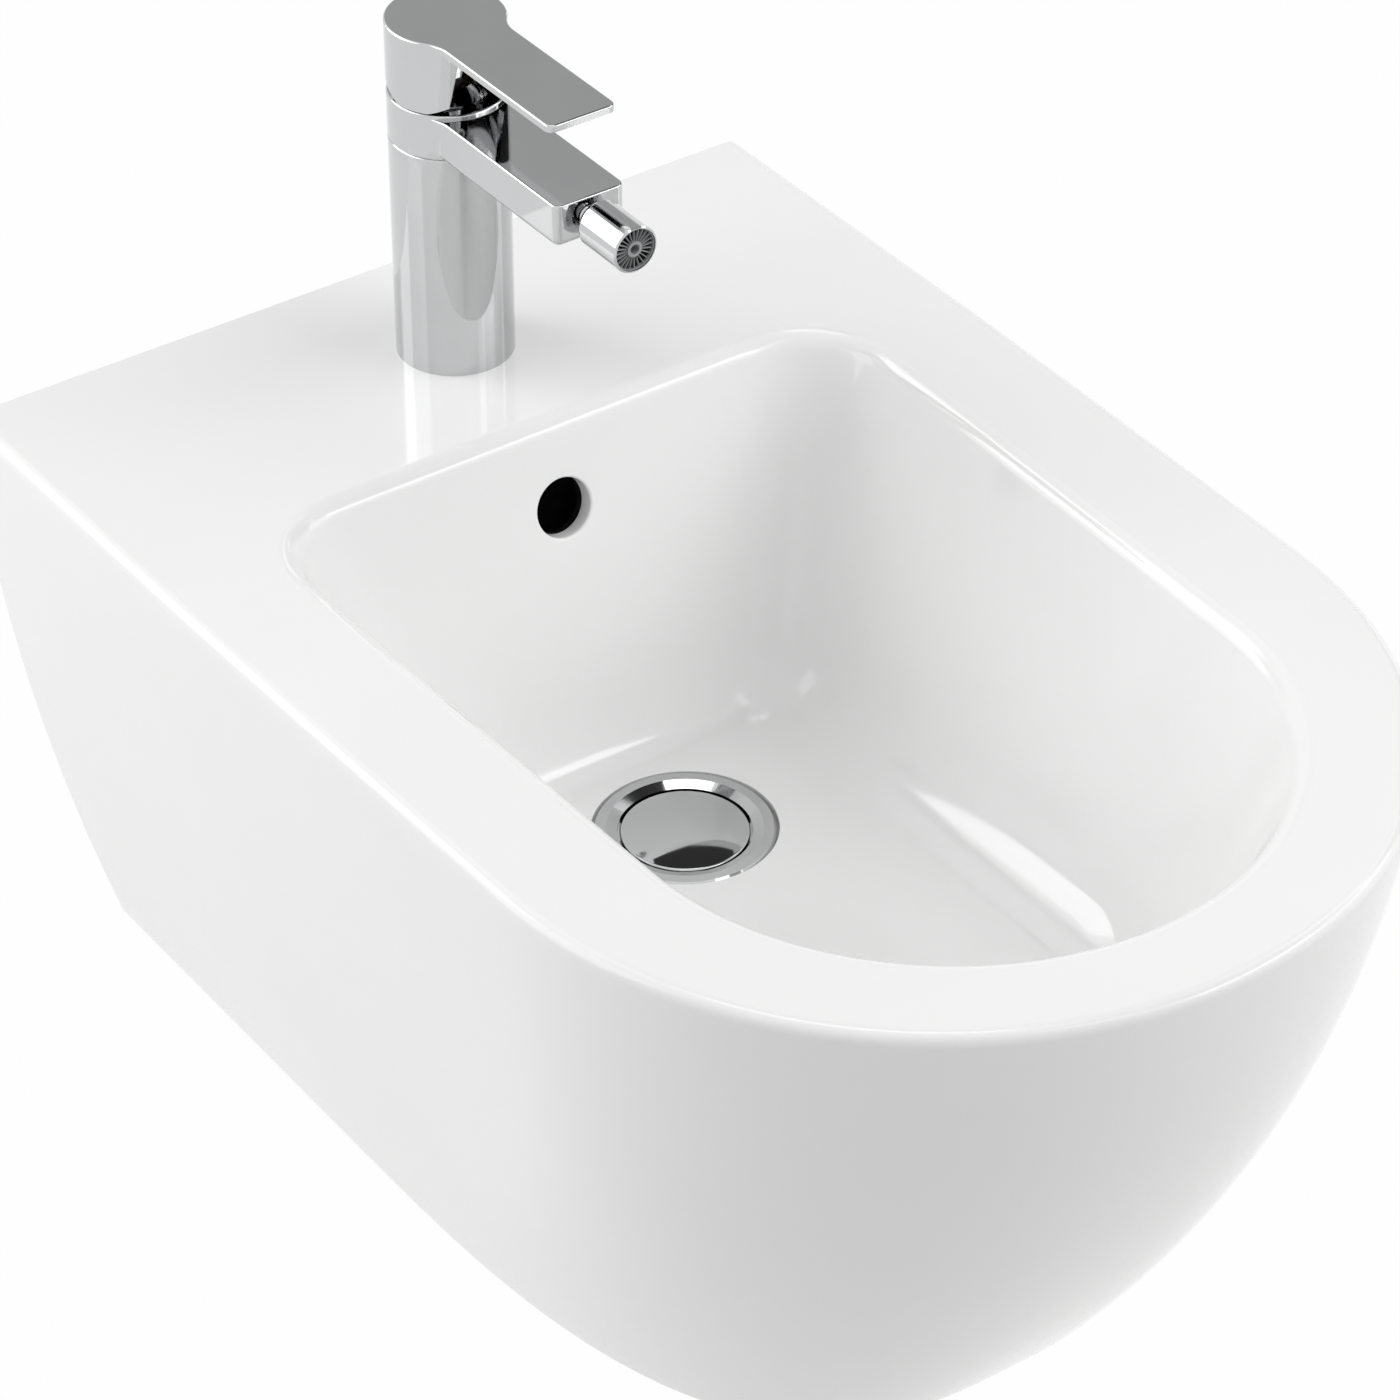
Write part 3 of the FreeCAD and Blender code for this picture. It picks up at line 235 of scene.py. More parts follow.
def bowl_ring(depth, grow, rear_grow):
    """The bowl's outline: straight rear edge with round corners, sides that draw in, round front."""
    share = depth / BOWL_DEPTH
    half = between(*BOWL_HALVES, share) + grow
    rear = between(*BOWL_REARS, share) - rear_grow
    front = between(*BOWL_FRONTS, share) + grow
    nose = between(*BOWL_NOSES, share) + grow
    corner = between(*BOWL_CORNERS, share) + grow
    z = RIM_Z - depth
    turn = rear + corner
    run = front - nose - turn
    lean = math.acos(nose / math.hypot(half, run)) - math.atan2(run, half)
    bend = Vector((nose * math.cos(lean), nose - front - nose * math.sin(lean), z))
    start = Vector((half, -turn, z))
    points = [Vector(((half - corner) * i / BACK_STEPS, -rear, z)) for i in range(BACK_STEPS)]
    for i in range(CORNER_STEPS):
        angle = quarter_turn(i, CORNER_STEPS)
        x = half - corner + corner * math.sin(angle)
        points.append(Vector((x, -turn + corner * math.cos(angle), z)))
    points += [start.lerp(bend, i / SIDE_STEPS) for i in range(SIDE_STEPS)]
    for i in range(FRONT_STEPS):
        angle = between(lean, math.pi / 2, i / FRONT_STEPS)
        points.append(Vector((nose * math.cos(angle), nose - front - nose * math.sin(angle), z)))
    points.append(Vector((0, -front, z)))
    return mirrored(points)


def floor_ring(angle, wall=0.0):
    """A step of the curve from the bowl's wall at 0 degrees to its tilted floor at 90."""
    turn = math.radians(angle)
    depth = BOWL_DEPTH - BOWL_FLOOR_ROUND * (1 - math.sin(turn)) + wall * math.sin(turn)
    side = wall * math.cos(turn)
    inset = 1 - math.cos(turn)
    ring = bowl_ring(depth, side - BOWL_FLOOR_ROUND * inset, side - BOWL_REAR_ROUND * inset)
    centre = Vector((0, DRAIN.y, RIM_Z - depth))
    tilt = Matrix.Rotation(math.radians(-FLOOR_FALL * angle / 90), 4, "X")
    return [centre + tilt @ (p - centre) for p in ring]


def skin_rings():
    """The outside from the flat base, round its edge and up to the flat rim."""
    rings = [body_ring(BODY_HEIGHT, BASE_ROUND + SUPPORT, SUPPORT)]
    for i in range(EDGE_RINGS):
        angle = quarter_turn(i, EDGE_RINGS)
        depth = BODY_HEIGHT - BASE_ROUND * (1 - math.cos(angle))
        rings.append(body_ring(depth, BASE_ROUND * (1 - math.sin(angle))))
    low = BODY_HEIGHT - BASE_ROUND
    rings += [body_ring(between(low, RIM_ROUND, i / SKIN_RINGS), 0.0) for i in range(SKIN_RINGS)]
    for i in range(EDGE_RINGS + 1):
        angle = quarter_turn(i, EDGE_RINGS)
        rings.append(body_ring(RIM_ROUND * (1 - math.sin(angle)), RIM_ROUND * (1 - math.cos(angle))))
    rings.append(body_ring(0.0, RIM_ROUND + SUPPORT, SUPPORT))
    return rings


def bowl_rings():
    """The inside from the flat rim over the lip, down the wall and across the floor to the drain."""
    first = math.radians(LIP_START)
    flare = BOWL_RIM_ROUND * (1 - math.sin(first)) + SUPPORT
    rings = [bowl_ring(0.0, flare, flare)]
    for i in range(EDGE_RINGS + 1):
        angle = between(first, math.pi / 2, i / EDGE_RINGS)
        flare = BOWL_RIM_ROUND * (1 - math.sin(angle))
        rings.append(bowl_ring(BOWL_RIM_ROUND * (math.cos(first) - math.cos(angle)), flare, flare))
    top = BOWL_RIM_ROUND * math.cos(first)
    foot = BOWL_DEPTH - BOWL_FLOOR_ROUND
    rings += [bowl_ring(between(top, foot, i / WALL_RINGS), 0.0, 0.0) for i in range(1, WALL_RINGS)]
    rings += [floor_ring(90 * i / FLOOR_RINGS) for i in range(FLOOR_RINGS + 1)]
    return rings + drain_rings(rings[-1])


def drain_rings(floor_edge):
    """From the edge of the floor in to the round seat of the waste, and down into it."""
    centre = Vector((0, DRAIN.y, 0))
    circle = []
    for p in floor_edge:
        out = Vector((p.x, p.y - DRAIN.y, 0)).normalized() * SEAT_R
        fall = out.y * math.tan(math.radians(-FLOOR_FALL))
        circle.append(centre + out + Vector((0, 0, RIM_Z - BOWL_DEPTH + fall)))
    rings = [[a.lerp(b, i / DRAIN_RINGS) for a, b in zip(floor_edge, circle)]
             for i in range(1, DRAIN_RINGS + 1)]
    seat_z = RIM_Z - BOWL_DEPTH - SEAT_DEPTH
    rings.append([Vector((p.x, p.y, seat_z)) for p in circle])
    return rings


def circle_points(radius, centre, along, steps):
    """Points of a circle round an axis."""
    turn = along.to_track_quat("Z", "Y")
    angles = [2 * math.pi * i / steps for i in range(steps)]
    return [centre + turn @ Vector((radius * math.cos(a), radius * math.sin(a), 0)) for a in angles]


def cavity_outline(z):
    """The service cavity from above: round corners at its front, nearly sharp ones at its back."""
    front, back = -CAVITY_REACH, -REAR_WALL
    corners = ((1, front, -1, CAVITY_CORNER), (1, back, 1, CAVITY_BACK_CORNER),
               (-1, back, 1, CAVITY_BACK_CORNER), (-1, front, -1, CAVITY_CORNER))
    points = []
    for number, (side, y, end, r) in enumerate(corners):
        for i in range(ARC_STEPS + 1):
            angle = math.radians(-90 + 90 * number + 90 * i / ARC_STEPS)
            x = side * CAVITY_HALF - side * r + r * math.cos(angle)
            points.append(Vector((x, y - end * r + r * math.sin(angle), z)))
    return points


def duct_outline(grow, roof):
    """The overflow way seen from the side: down behind the bowl and under its floor."""
    front_top = BOWL_REARS[0] - BOWL_WALL + REAR_SLOPE * DUCT_TOP
    front_low = BOWL_REARS[0] - BOWL_WALL + REAR_SLOPE * (RIM_Z - CHAMBER_TOP_Z)
    top = RIM_Z - DUCT_TOP + grow
    low = CHAMBER_TOP_Z - CHAMBER_HEIGHT - grow
    return [(-(front_top - DUCT_GAP) + grow, top), (-front_top - grow, top), (-front_low - grow, roof),
            (DRAIN.y, roof), (DRAIN.y, low), (-(front_low - DUCT_GAP) + grow, low)]


# Meshes

def link_object(name, data):
    made = bpy.data.objects.new(name, data)
    bpy.context.scene.collection.objects.link(made)
    return made


def object_from(bm, name):
    """A new object from a mesh that has been made."""
    mesh = bpy.data.meshes.new(name)
    bm.to_mesh(mesh)
    bm.free()
    return link_object(name, mesh)


def bridge(bm, low, high, finish=0):
    """Faces between two closed rows of as many points."""
    count = len(low)
    for i in range(count):
        j = (i + 1) % count
        bm.faces.new((low[i], low[j], high[j], high[i])).material_index = finish


def ring_mesh(name, rings):
    """A closed mesh through a row of rings with as many points each, capped at both ends."""
    bm = bmesh.new()
    rows = [[bm.verts.new(p) for p in ring] for ring in rings]
    for low, high in zip(rows, rows[1:]):
        bridge(bm, low, high)
    bm.faces.new(rows[0])
    bm.faces.new(rows[-1])
    bmesh.ops.recalc_face_normals(bm, faces=bm.faces)
    return object_from(bm, name)


def lathe(bm, profile, centre, along, finish=0):
    """Turn a closed profile of (radius, reach) points round an axis, into a mesh that is being made."""
    rows = [[bm.verts.new(p) for p in circle_points(radius, centre + along * reach, along, LATHE_STEPS)]
            for radius, reach in profile]
    for low, high in zip(rows, rows[1:] + rows[:1]):
        bridge(bm, low, high, finish)


def soft_tube(inner, outer, start, end):
    """The profile of a tube whose four edges are taken off."""
    edge = SMALL_EDGE
    return [(inner + edge, start), (outer - edge, start), (outer, start + edge), (outer, end - edge),
            (outer - edge, end), (inner + edge, end), (inner, end - edge), (inner, start + edge)]


def round_bar(name, radius, start, end):
    along = (end - start).normalized()
    return ring_mesh(name, [circle_points(radius, p, along, BAR_STEPS) for p in (start, end)])


def cut(body, cutter):
    """Take the cutter away from the body, with the cutter's finish on the new faces."""
    modifier = body.modifiers.new("cut", "BOOLEAN")
    modifier.operation = "DIFFERENCE"
    modifier.solver = "EXACT"
    modifier.material_mode = "TRANSFER"
    modifier.object = cutter
    graph = bpy.context.evaluated_depsgraph_get()
    mesh = bpy.data.meshes.new_from_object(body.evaluated_get(graph))
    body.modifiers.clear()
    old = body.data
    body.data = mesh
    bpy.data.meshes.remove(old)
    bpy.data.objects.remove(cutter)


def merge_points(made):
    """Join points that a cut has left on top of each other, and divide faces with many sides."""
    bm = bmesh.new()
    bm.from_mesh(made.data)
    bmesh.ops.remove_doubles(bm, verts=bm.verts, dist=SAME_POINT)
    bmesh.ops.dissolve_degenerate(bm, edges=bm.edges, dist=SAME_POINT)
    many_sided = [face for face in bm.faces if len(face.verts) > 4]
    bmesh.ops.triangulate(bm, faces=many_sided, ngon_method="BEAUTY")
    bm.to_mesh(made.data)
    bm.free()


def paint(made, *materials):
    """Give a mesh its materials; clearing an old list also resets which face has which."""
    if made.data.materials:
        made.data.materials.clear()
    for material in materials:
        made.data.materials.append(material)


def stand_for(piece, node, body):
    """Finish a painted piece that rides a body in place of a node, with only its sharp edges sharp."""
    for face in piece.data.polygons:
        face.use_smooth = True
    piece.data.set_sharp_from_angle(angle=math.radians(SHARP_ANGLE))
    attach(piece, body)
    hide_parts(node)


# Pieces

def duct(name, grow, roof):
    """The overflow way as a solid, or what surrounds it if it is grown by the wall's thickness."""
    half = DUCT_HALF + grow
    sides = [[Vector((x, y, z)) for y, z in duct_outline(grow, roof)] for x in (-half, half)]
    return ring_mesh(name, sides)


def chamber(name, grow, roof):
    """The chamber round the waste that the overflow way ends in, grown in the same manner."""
    low = Vector((0, DRAIN.y, CHAMBER_TOP_Z - CHAMBER_HEIGHT - grow))
    return round_bar(name, CHAMBER_R + grow, low, Vector((0, DRAIN.y, roof)))


def bowl_shell():
    """The outside of the bowl as it hangs in the service cavity."""
    rings = [bowl_ring(0.0, BOWL_WALL, BOWL_WALL)]
    rings += [floor_ring(90 * i / SHELL_RINGS, BOWL_WALL) for i in range(SHELL_RINGS + 1)]
    return ring_mesh("bowl_shell", rings)


def service_cavity():
    """The space behind and under the bowl for the waste and the supplies, open below."""
    space = ring_mesh("service_cavity", [cavity_outline(z) for z in (BASE_Z - PAST_FACE, RIM_Z - DECK)])
    roof = RIM_Z - BOWL_DEPTH
    for solid in (bowl_shell(), duct("duct_outside", DUCT_WALL, roof),
                  chamber("chamber_outside", DUCT_WALL, roof)):
        cut(space, solid)
    return space


def rear_opening():
    """The arched opening in the rear wall that the waste pipe and supplies pass through."""
    top = RIM_Z - OPENING_DEPTH
    outline = []
    for side in (1, -1):
        arc = []
        for i in range(ARC_STEPS + 1):
            angle = math.radians(90 * i / ARC_STEPS)
            x = OPENING_HALF - OPENING_CORNER * (1 - math.cos(angle))
            arc.append((side * x, top - OPENING_CORNER * (1 - math.sin(angle))))
        low = [(side * OPENING_HALF, BASE_Z - PAST_FACE)]
        outline += low + arc if side == 1 else arc[::-1] + low
    depths = (-REAR_WALL - PAST_WALL, PAST_WALL)
    return ring_mesh("rear_opening", [[Vector((x, y, z)) for x, z in outline] for y in depths])


def overflow_bar(glaze, shade):
    """The overflow hole: softened edge, glazed wall, and painted shade (the near-black shade material)
    where the duct begins.
    """
    normal = Vector((0, 1, -REAR_SLOPE)).normalized()
    wall = Vector((0, -(BOWL_REARS[0] + REAR_SLOPE * OVERFLOW_DEPTH), RIM_Z - OVERFLOW_DEPTH))
    steps = [(-BOWL_WALL, OVERFLOW_EDGE)]
    for i in range(EDGE_RINGS + 1):
        angle = quarter_turn(i, EDGE_RINGS)
        steps.append((OVERFLOW_EDGE * (1 - math.cos(angle)), OVERFLOW_EDGE * (1 - math.sin(angle))))
    steps += [(OVERFLOW_GLAZED, 0.0), (BOWL_WALL + DUCT_GAP / 2, 0.0)]
    rings = [circle_points(OVERFLOW_R + grow, wall + normal * reach, normal, BAR_STEPS)
             for reach, grow in steps]
    bar = ring_mesh("overflow_hole", rings)
    paint(bar, glaze, shade)
    # Painted shade: faces deeper than the glazed part take the near-black shade material.
    for face in bar.data.polygons:
        if (face.center - wall).dot(normal) > OVERFLOW_GLAZED + ROUNDING:
            face.material_index = 1
    return bar


def ceramic_body(glaze, bisque, shade):
    """The glazed body, with its raw faces against the wall and under the base."""
    body = ring_mesh("glazed_body", skin_rings() + bowl_rings())
    paint(body, glaze, bisque, shade)
    tap_low = Vector((0, TAP.y, RIM_Z - DECK - PAST_FACE))
    drain_low = Vector((0, DRAIN.y, CHAMBER_TOP_Z - CHAMBER_HEIGHT - DUCT_WALL - PAST_FACE))
    hub_low = Vector((0, DRAIN.y, RIM_Z - BOWL_DEPTH - HUB_DEPTH))
    glazed = [service_cavity(), rear_opening()]
    # Painted shade: the overflow way and its chamber leave the near-black shade material on their cut
    # faces.
    dark = [duct("duct_inside", 0.0, CHAMBER_TOP_Z), chamber("chamber_inside", 0.0, CHAMBER_TOP_Z)]
    raw = [round_bar("tap_hole", TAP_HOLE_R, tap_low, tap_low + UP * (DECK + 2 * PAST_FACE)),
           round_bar("hub_recess", HUB_HOLE_R, hub_low, hub_low + UP * HUB_DEPTH),
           round_bar("drain_hole", DRAIN_HOLE_R, drain_low, Vector((0, DRAIN.y, RIM_Z - BOWL_DEPTH)))]
    for x in (-FIXING_HALF, FIXING_HALF):
        raw.append(round_bar("fixing_hole", SLEEVE_HOLE_R, Vector((x, -REAR_WALL - PAST_WALL, 0)),
                             Vector((x, PAST_WALL, 0))))
    for cutters, finish in ((glazed, glaze), (dark, shade), (raw, bisque)):
        for cutter in cutters:
            paint(cutter, finish)
            cut(body, cutter)
    cut(body, overflow_bar(glaze, shade))
    merge_points(body)
    raw_index = body.data.materials.find(bisque.name)
    for face in body.data.polygons:
        at_wall = face.center.y > -NEAR_FACE
        at_base = face.center.z < BASE_Z + NEAR_FACE
        if at_wall or at_base:
            face.material_index = raw_index
    stand_for(body, "ceramic_body", "base")


def outlet_fins(plastic, shade):
    """The nozzle's outlet: thin fins between a hub and a rim, with painted shade (a near-black back
    plate) behind them.
    """
    low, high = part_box("aerator_insert")
    front = Vector((0, low.y, BALL.z))
    inward = Vector((0, 1, 0))
    depth = high.y - low.y
    back = depth - OUTLET_BACK
    radius = (high.x - low.x) / 2
    bm = bmesh.new()
    lathe(bm, soft_tube(OUTLET_HOLE_R, OUTLET_HUB_R, 0.0, depth), front, inward)
    lathe(bm, soft_tube(radius - OUTLET_RIM, radius, 0.0, depth), front, inward)
    # Painted shade: the plate behind the fins takes the near-black shade material.
    lathe(bm, soft_tube(OUTLET_HOLE_R + SMALL_EDGE, radius - SMALL_EDGE, back, depth - SMALL_EDGE),
          front, inward, finish=1)
    ends = (OUTLET_HUB_R - SMALL_EDGE, radius - OUTLET_RIM + SMALL_EDGE)
    for i in range(FIN_COUNT):
        turn = Matrix.Rotation(2 * math.pi * i / FIN_COUNT, 4, "Y")
        sections = []
        for reach, half in zip(ends, FIN_HALVES):
            corners = ((-half, FIN_SINK + SMALL_EDGE), (0.0, FIN_SINK), (half, FIN_SINK + SMALL_EDGE),
                       (half, back), (-half, back))
            sections.append([bm.verts.new(front + turn @ Vector((x, y, reach))) for x, y in corners])
        hub_end, rim_end = sections
        bridge(bm, hub_end, rim_end)
        bm.faces.new(hub_end)
        bm.faces.new(rim_end[::-1])
    bmesh.ops.recalc_face_normals(bm, faces=bm.faces)
    fins = object_from(bm, "outlet_fins")
    paint(fins, plastic, shade)
    stand_for(fins, "aerator_insert", "nozzle")


def plug_dome(chrome):
    """The plug's shallow dome, with its edge rounded over into the gap of the flange."""
    radius = (PLUG_HIGH.x - PLUG_LOW.x) / 2
    sphere = (radius ** 2 + PLUG_RISE ** 2) / (2 * PLUG_RISE)
    flat = radius - PLUG_ROUND

    def height(r):
        return PLUG_HIGH.z - sphere + math.sqrt(sphere ** 2 - r ** 2)

    profile = [(PLUG_CORE_R, PLUG_LOW.z), (radius - SMALL_EDGE, PLUG_LOW.z),
               (radius, PLUG_LOW.z + SMALL_EDGE)]
    for i in range(EDGE_RINGS):
        angle = quarter_turn(i, EDGE_RINGS)
        drop = PLUG_ROUND * (1 - math.sin(angle))
        profile.append((flat + PLUG_ROUND * math.cos(angle), height(flat) - drop))
    crown = [between(flat, PLUG_CORE_R, i / DOME_RINGS) for i in range(DOME_RINGS + 1)]
    profile += [(r, height(r)) for r in crown]
    rings = [circle_points(r, Vector((DRAIN.x, DRAIN.y, z)), UP, DOME_STEPS) for r, z in profile]
    dome = ring_mesh("plug_dome", rings)
    paint(dome, chrome)
    stand_for(dome, "plug_cap", "plug")


def threaded_stud(steel):
    """The stud under the deck, with its thread as far up as the deck's underside and plain above it."""
    low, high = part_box("mounting_stud")
    centre = (low + high) / 2
    radius = (high.x - low.x) / 2
    top = RIM_Z - DECK
    rows = round((top - low.z) / THREAD_PITCH * THREAD_ROWS)
    rings = []
    for row in range(rows + 1):
        z = between(low.z, top, row / rows)
        ring = []
        for i in range(THREAD_STEPS):
            turn = i / THREAD_STEPS
            phase = (z / THREAD_PITCH - turn) % 1.0
            r = min(radius - THREAD_DEPTH * abs(2 * phase - 1), radius - THREAD_LEAD + (z - low.z))
            angle = 2 * math.pi * turn
            ring.append(Vector((centre.x + r * math.cos(angle), centre.y + r * math.sin(angle), z)))
        rings.append(ring)
    plain = circle_points(radius, Vector((centre.x, centre.y, 0)), UP, THREAD_STEPS)
    rings += [[Vector((p.x, p.y, z)) for p in plain] for z in (top + SUPPORT, high.z)]
    stud = ring_mesh("threaded_stud", rings)
    paint(stud, steel)
    stand_for(stud, "mounting_stud", "base")


# Materials: the noise's scales are in waves per metre, and its value stays mostly in NOISE_SPAN

NOISE_SPAN = (0.3, 0.7)
NOISE_DETAIL = 4.0
METAL = {"Metallic": 1.0}


def node(material, kind):
    return material.node_tree.nodes.new(kind)


def join(material, source, target):
    material.node_tree.links.new(source, target)


def noise(material, scale, detail=NOISE_DETAIL, stretch=(1, 1, 1)):
    """Noise in the piece's own coordinates."""
    place = node(material, "ShaderNodeTexCoord")
    mapping = node(material, "ShaderNodeMapping")
    mapping.inputs["Scale"].default_value = stretch
    made = node(material, "ShaderNodeTexNoise")
    made.inputs["Scale"].default_value = scale
    made.inputs["Detail"].default_value = detail
    join(material, place.outputs["Object"], mapping.inputs["Vector"])
    join(material, mapping.outputs["Vector"], made.inputs["Vector"])
    return made.outputs["Fac"]


def tint(material, shader, scale, dark, light):
    """Base colour that wanders between two shades."""
    ramp = node(material, "ShaderNodeValToRGB")
    for stop, position, colour in zip(ramp.color_ramp.elements, NOISE_SPAN, (dark, light)):
        stop.position = position
        stop.color = (*colour, 1)
    join(material, noise(material, scale), ramp.inputs["Fac"])
    join(material, ramp.outputs["Color"], shader.inputs["Base Color"])


def roughen(material, shader, scale, low, high):
    """Roughness that wanders between two limits."""
    spread = node(material, "ShaderNodeMapRange")
    spread.inputs["From Min"].default_value = NOISE_SPAN[0]
    spread.inputs["From Max"].default_value = NOISE_SPAN[1]
    spread.inputs["To Min"].default_value = low
    spread.inputs["To Max"].default_value = high
    join(material, noise(material, scale), spread.inputs["Value"])
    join(material, spread.outputs["Result"], shader.inputs["Roughness"])


def emboss(material, shader, scale, detail, strength, height, stretch=(1, 1, 1)):
    """Fine relief of the surface."""
    made = node(material, "ShaderNodeBump")
    made.inputs["Strength"].default_value = strength
    made.inputs["Distance"].default_value = height
    join(material, noise(material, scale, detail, stretch), made.inputs["Height"])
    join(material, made.outputs["Normal"], shader.inputs["Normal"])


def surface(name, values, colour, rough, relief=None):
    """A material: plain values on the shader's own sockets, and what tint, roughen and emboss take."""
    material = bpy.data.materials.new(name)
    material.use_nodes = True
    shader = material.node_tree.nodes["Principled BSDF"]
    for key, value in values.items():
        shader.inputs[key].default_value = value
    tint(material, shader, *colour)
    roughen(material, shader, *rough)
    if relief:
        emboss(material, shader, *relief)
    return material


def plastic(name, dark, light):
    return surface(name, {"IOR": 1.46}, colour=(80.0, dark, light), rough=(300.0, 0.32, 0.5),
                   relief=(1600.0, 3.0, 0.12, 0.05 * MM))


def slot_finishes():
    """A finish for each of the record's material slots."""
    return {
        "glazed_white": surface("glaze", {"IOR": 1.53},
                                colour=(7.0, (0.865, 0.865, 0.862), (0.885, 0.885, 0.884)),
                                rough=(30.0, 0.06, 0.10), relief=(14.0, 1.0, 0.10, 0.4 * MM)),
        "chrome": surface("chrome", METAL, colour=(40.0, (0.57, 0.575, 0.58), (0.59, 0.595, 0.60)),
                          rough=(90.0, 0.035, 0.075), relief=(60.0, 1.0, 0.03, 0.1 * MM)),
        "steel": surface("zinc_steel", METAL, colour=(260.0, (0.47, 0.48, 0.50), (0.62, 0.62, 0.62)),
                         rough=(500.0, 0.28, 0.45), relief=(1500.0, 3.0, 0.12, 0.05 * MM)),
        "brass": surface("turned_brass", METAL, colour=(150.0, (0.62, 0.44, 0.19), (0.74, 0.55, 0.27)),
                         rough=(300.0, 0.22, 0.38), relief=(900.0, 2.0, 0.2, 0.05 * MM, (0.05, 0.05, 1))),
        "rubber": surface("rubber", {"IOR": 1.5},
                          colour=(120.0, (0.012, 0.012, 0.013), (0.028, 0.028, 0.028)),
                          rough=(400.0, 0.55, 0.8), relief=(1200.0, 4.0, 0.25, 0.1 * MM)),
        "white_plastic": plastic("white_plastic", (0.76, 0.76, 0.75), (0.82, 0.82, 0.81)),
        "grey_plastic": plastic("grey_plastic", (0.13, 0.135, 0.14), (0.18, 0.185, 0.19)),
        "disc_ceramic": surface("lapped_disc", {"IOR": 1.7},
                                colour=(200.0, (0.70, 0.67, 0.58), (0.78, 0.75, 0.67)),
                                rough=(500.0, 0.15, 0.28)),
    }


def bisque_finish():
    """Raw ceramic without glaze."""
    return surface("bisque", {"IOR": 1.5}, colour=(60.0, (0.76, 0.75, 0.72), (0.79, 0.78, 0.755)),
                   rough=(200.0, 0.65, 0.85), relief=(900.0, 6.0, 0.35, 0.3 * MM))


def painted_shade_finish():
    """Painted shade: a near-black, dull material for the inside of the overflow way and behind the
    nozzle's outlet fins, where shade falls.
    """
    return surface("painted_shade", {"IOR": 1.4, "Specular IOR Level": 0.15},
                   colour=(120.0, (0.004, 0.004, 0.004), (0.010, 0.010, 0.010)), rough=(200.0, 0.7, 0.9))


def dress():
    """Give every node its finish, and make the pieces that stand for nodes."""
    finishes = slot_finishes()
    for part in frame["record"]["subparts"]:
        paint(frame["nodes"][part["node"]], finishes[part["material_slot"]])
    # Painted shade for the overflow way and for the outlet's back plate.
    shade = painted_shade_finish()
    ceramic_body(finishes["glazed_white"], bisque_finish(), shade)
    outlet_fins(plastic("fin_plastic", (0.28, 0.285, 0.29), (0.34, 0.345, 0.35)), shade)
    plug_dome(finishes["chrome"])
    threaded_stud(finishes["steel"])


# Stage: angles in degrees, lens and sensor in millimetres

CAMERA_AT = (-0.9615, -1.5942, 1.2266)
CAMERA_TURN = (53.68, 0.0, -35.32)
CAMERA_LENS = 136.14
CAMERA_SENSOR = 36.0
WHITE = (1, 1, 1, 1)
FILL_STRENGTH = 0.55
WHITE_STRENGTH = 1.0
FLOOR_DROP = 0.16
FLOOR_R = 12.0
FLOOR_STEPS = 96
FLOOR_GREY = 0.65
FLOOR_WHITE_SHARE = 0.98
STAGE_AIM = Vector((0, -0.2, 0.05))

# Lamps: name, direction and distance from the aim, width, height, watts
LAMPS = (
    ("left_softbox", (-0.74, 0.52, 0.43), 2.4, 2.7, 2.2, 28.5),
    ("back_softbox", (-0.55, 0.66, 0.48), 2.2, 0.9, 1.1, 8.0),
    ("front_softbox", (0.52, -0.70, 0.50), 2.2, 1.0, 0.36, 3.6),
    ("top_softbox", (0.56, -0.50, 0.66), 2.4, 2.6, 2.4, 27.5),
)

# Cards: name, direction and distance from the aim, width, height, brightness, where 1 is white
CARDS = (
    ("grey_card", (0.54, 0.615, 0.52), 2.4, 1.9, 1.35, 0.495),
    ("dark_card", (0.383, 0.335, 0.86), 2.4, 1.42, 1.2, 0.04),
    ("front_card", (0.46, -0.38, 0.80), 2.1, 1.5, 1.5, 0.45),
    ("side_card", (0.854, 0.143, 0.50), 2.2, 1.4, 0.7, 0.02),
    ("bright_card", (0.12, 0.20, 0.97), 2.4, 0.92, 0.6, 3.0),
)


def camera():
    data = bpy.data.cameras.new("camera")
    data.sensor_width = CAMERA_SENSOR
    data.lens = CAMERA_LENS
    made = link_object("camera", data)
    made.location = CAMERA_AT
    made.rotation_euler = [math.radians(a) for a in CAMERA_TURN]
    bpy.context.scene.camera = made


def softbox(name, towards, distance, width, height, power):
    """A rectangular lamp that faces the object from a direction."""
    data = bpy.data.lights.new(name, "AREA")
    data.shape = "RECTANGLE"
    data.size = width
    data.size_y = height
    data.energy = power
    out = Vector(towards).normalized()
    made = link_object(name, data)
    made.location = STAGE_AIM + out * distance
    made.rotation_euler = (-out).to_track_quat("-Z", "Y").to_euler()


def empty_material(name):
    """A material whose nodes are all still to be made."""
    material = bpy.data.materials.new(name)
    material.use_nodes = True
    material.node_tree.nodes.clear()
    return material, material.node_tree


def card(name, towards, distance, width, height, brightness):
    """A plain card that only mirrored rays see, for the tones that the chrome shows."""
    material, tree = empty_material(name)
    tone = tree.nodes.new("ShaderNodeEmission")
    tone.inputs["Color"].default_value = (brightness, brightness, brightness, 1)
    output = tree.nodes.new("ShaderNodeOutputMaterial")
    tree.links.new(tone.outputs[0], output.inputs["Surface"])
    out = Vector(towards).normalized()
    turn = (-out).to_track_quat("-Z", "Y")
    bm = bmesh.new()
    corners = ((-1, -1), (1, -1), (1, 1), (-1, 1))
    bm.faces.new([bm.verts.new(turn @ Vector((x * width / 2, y * height / 2, 0))) for x, y in corners])
    made = object_from(bm, name)
    made.location = STAGE_AIM + out * distance
    paint(made, material)
    made.visible_camera = False
    made.visible_diffuse = False
    made.visible_shadow = False


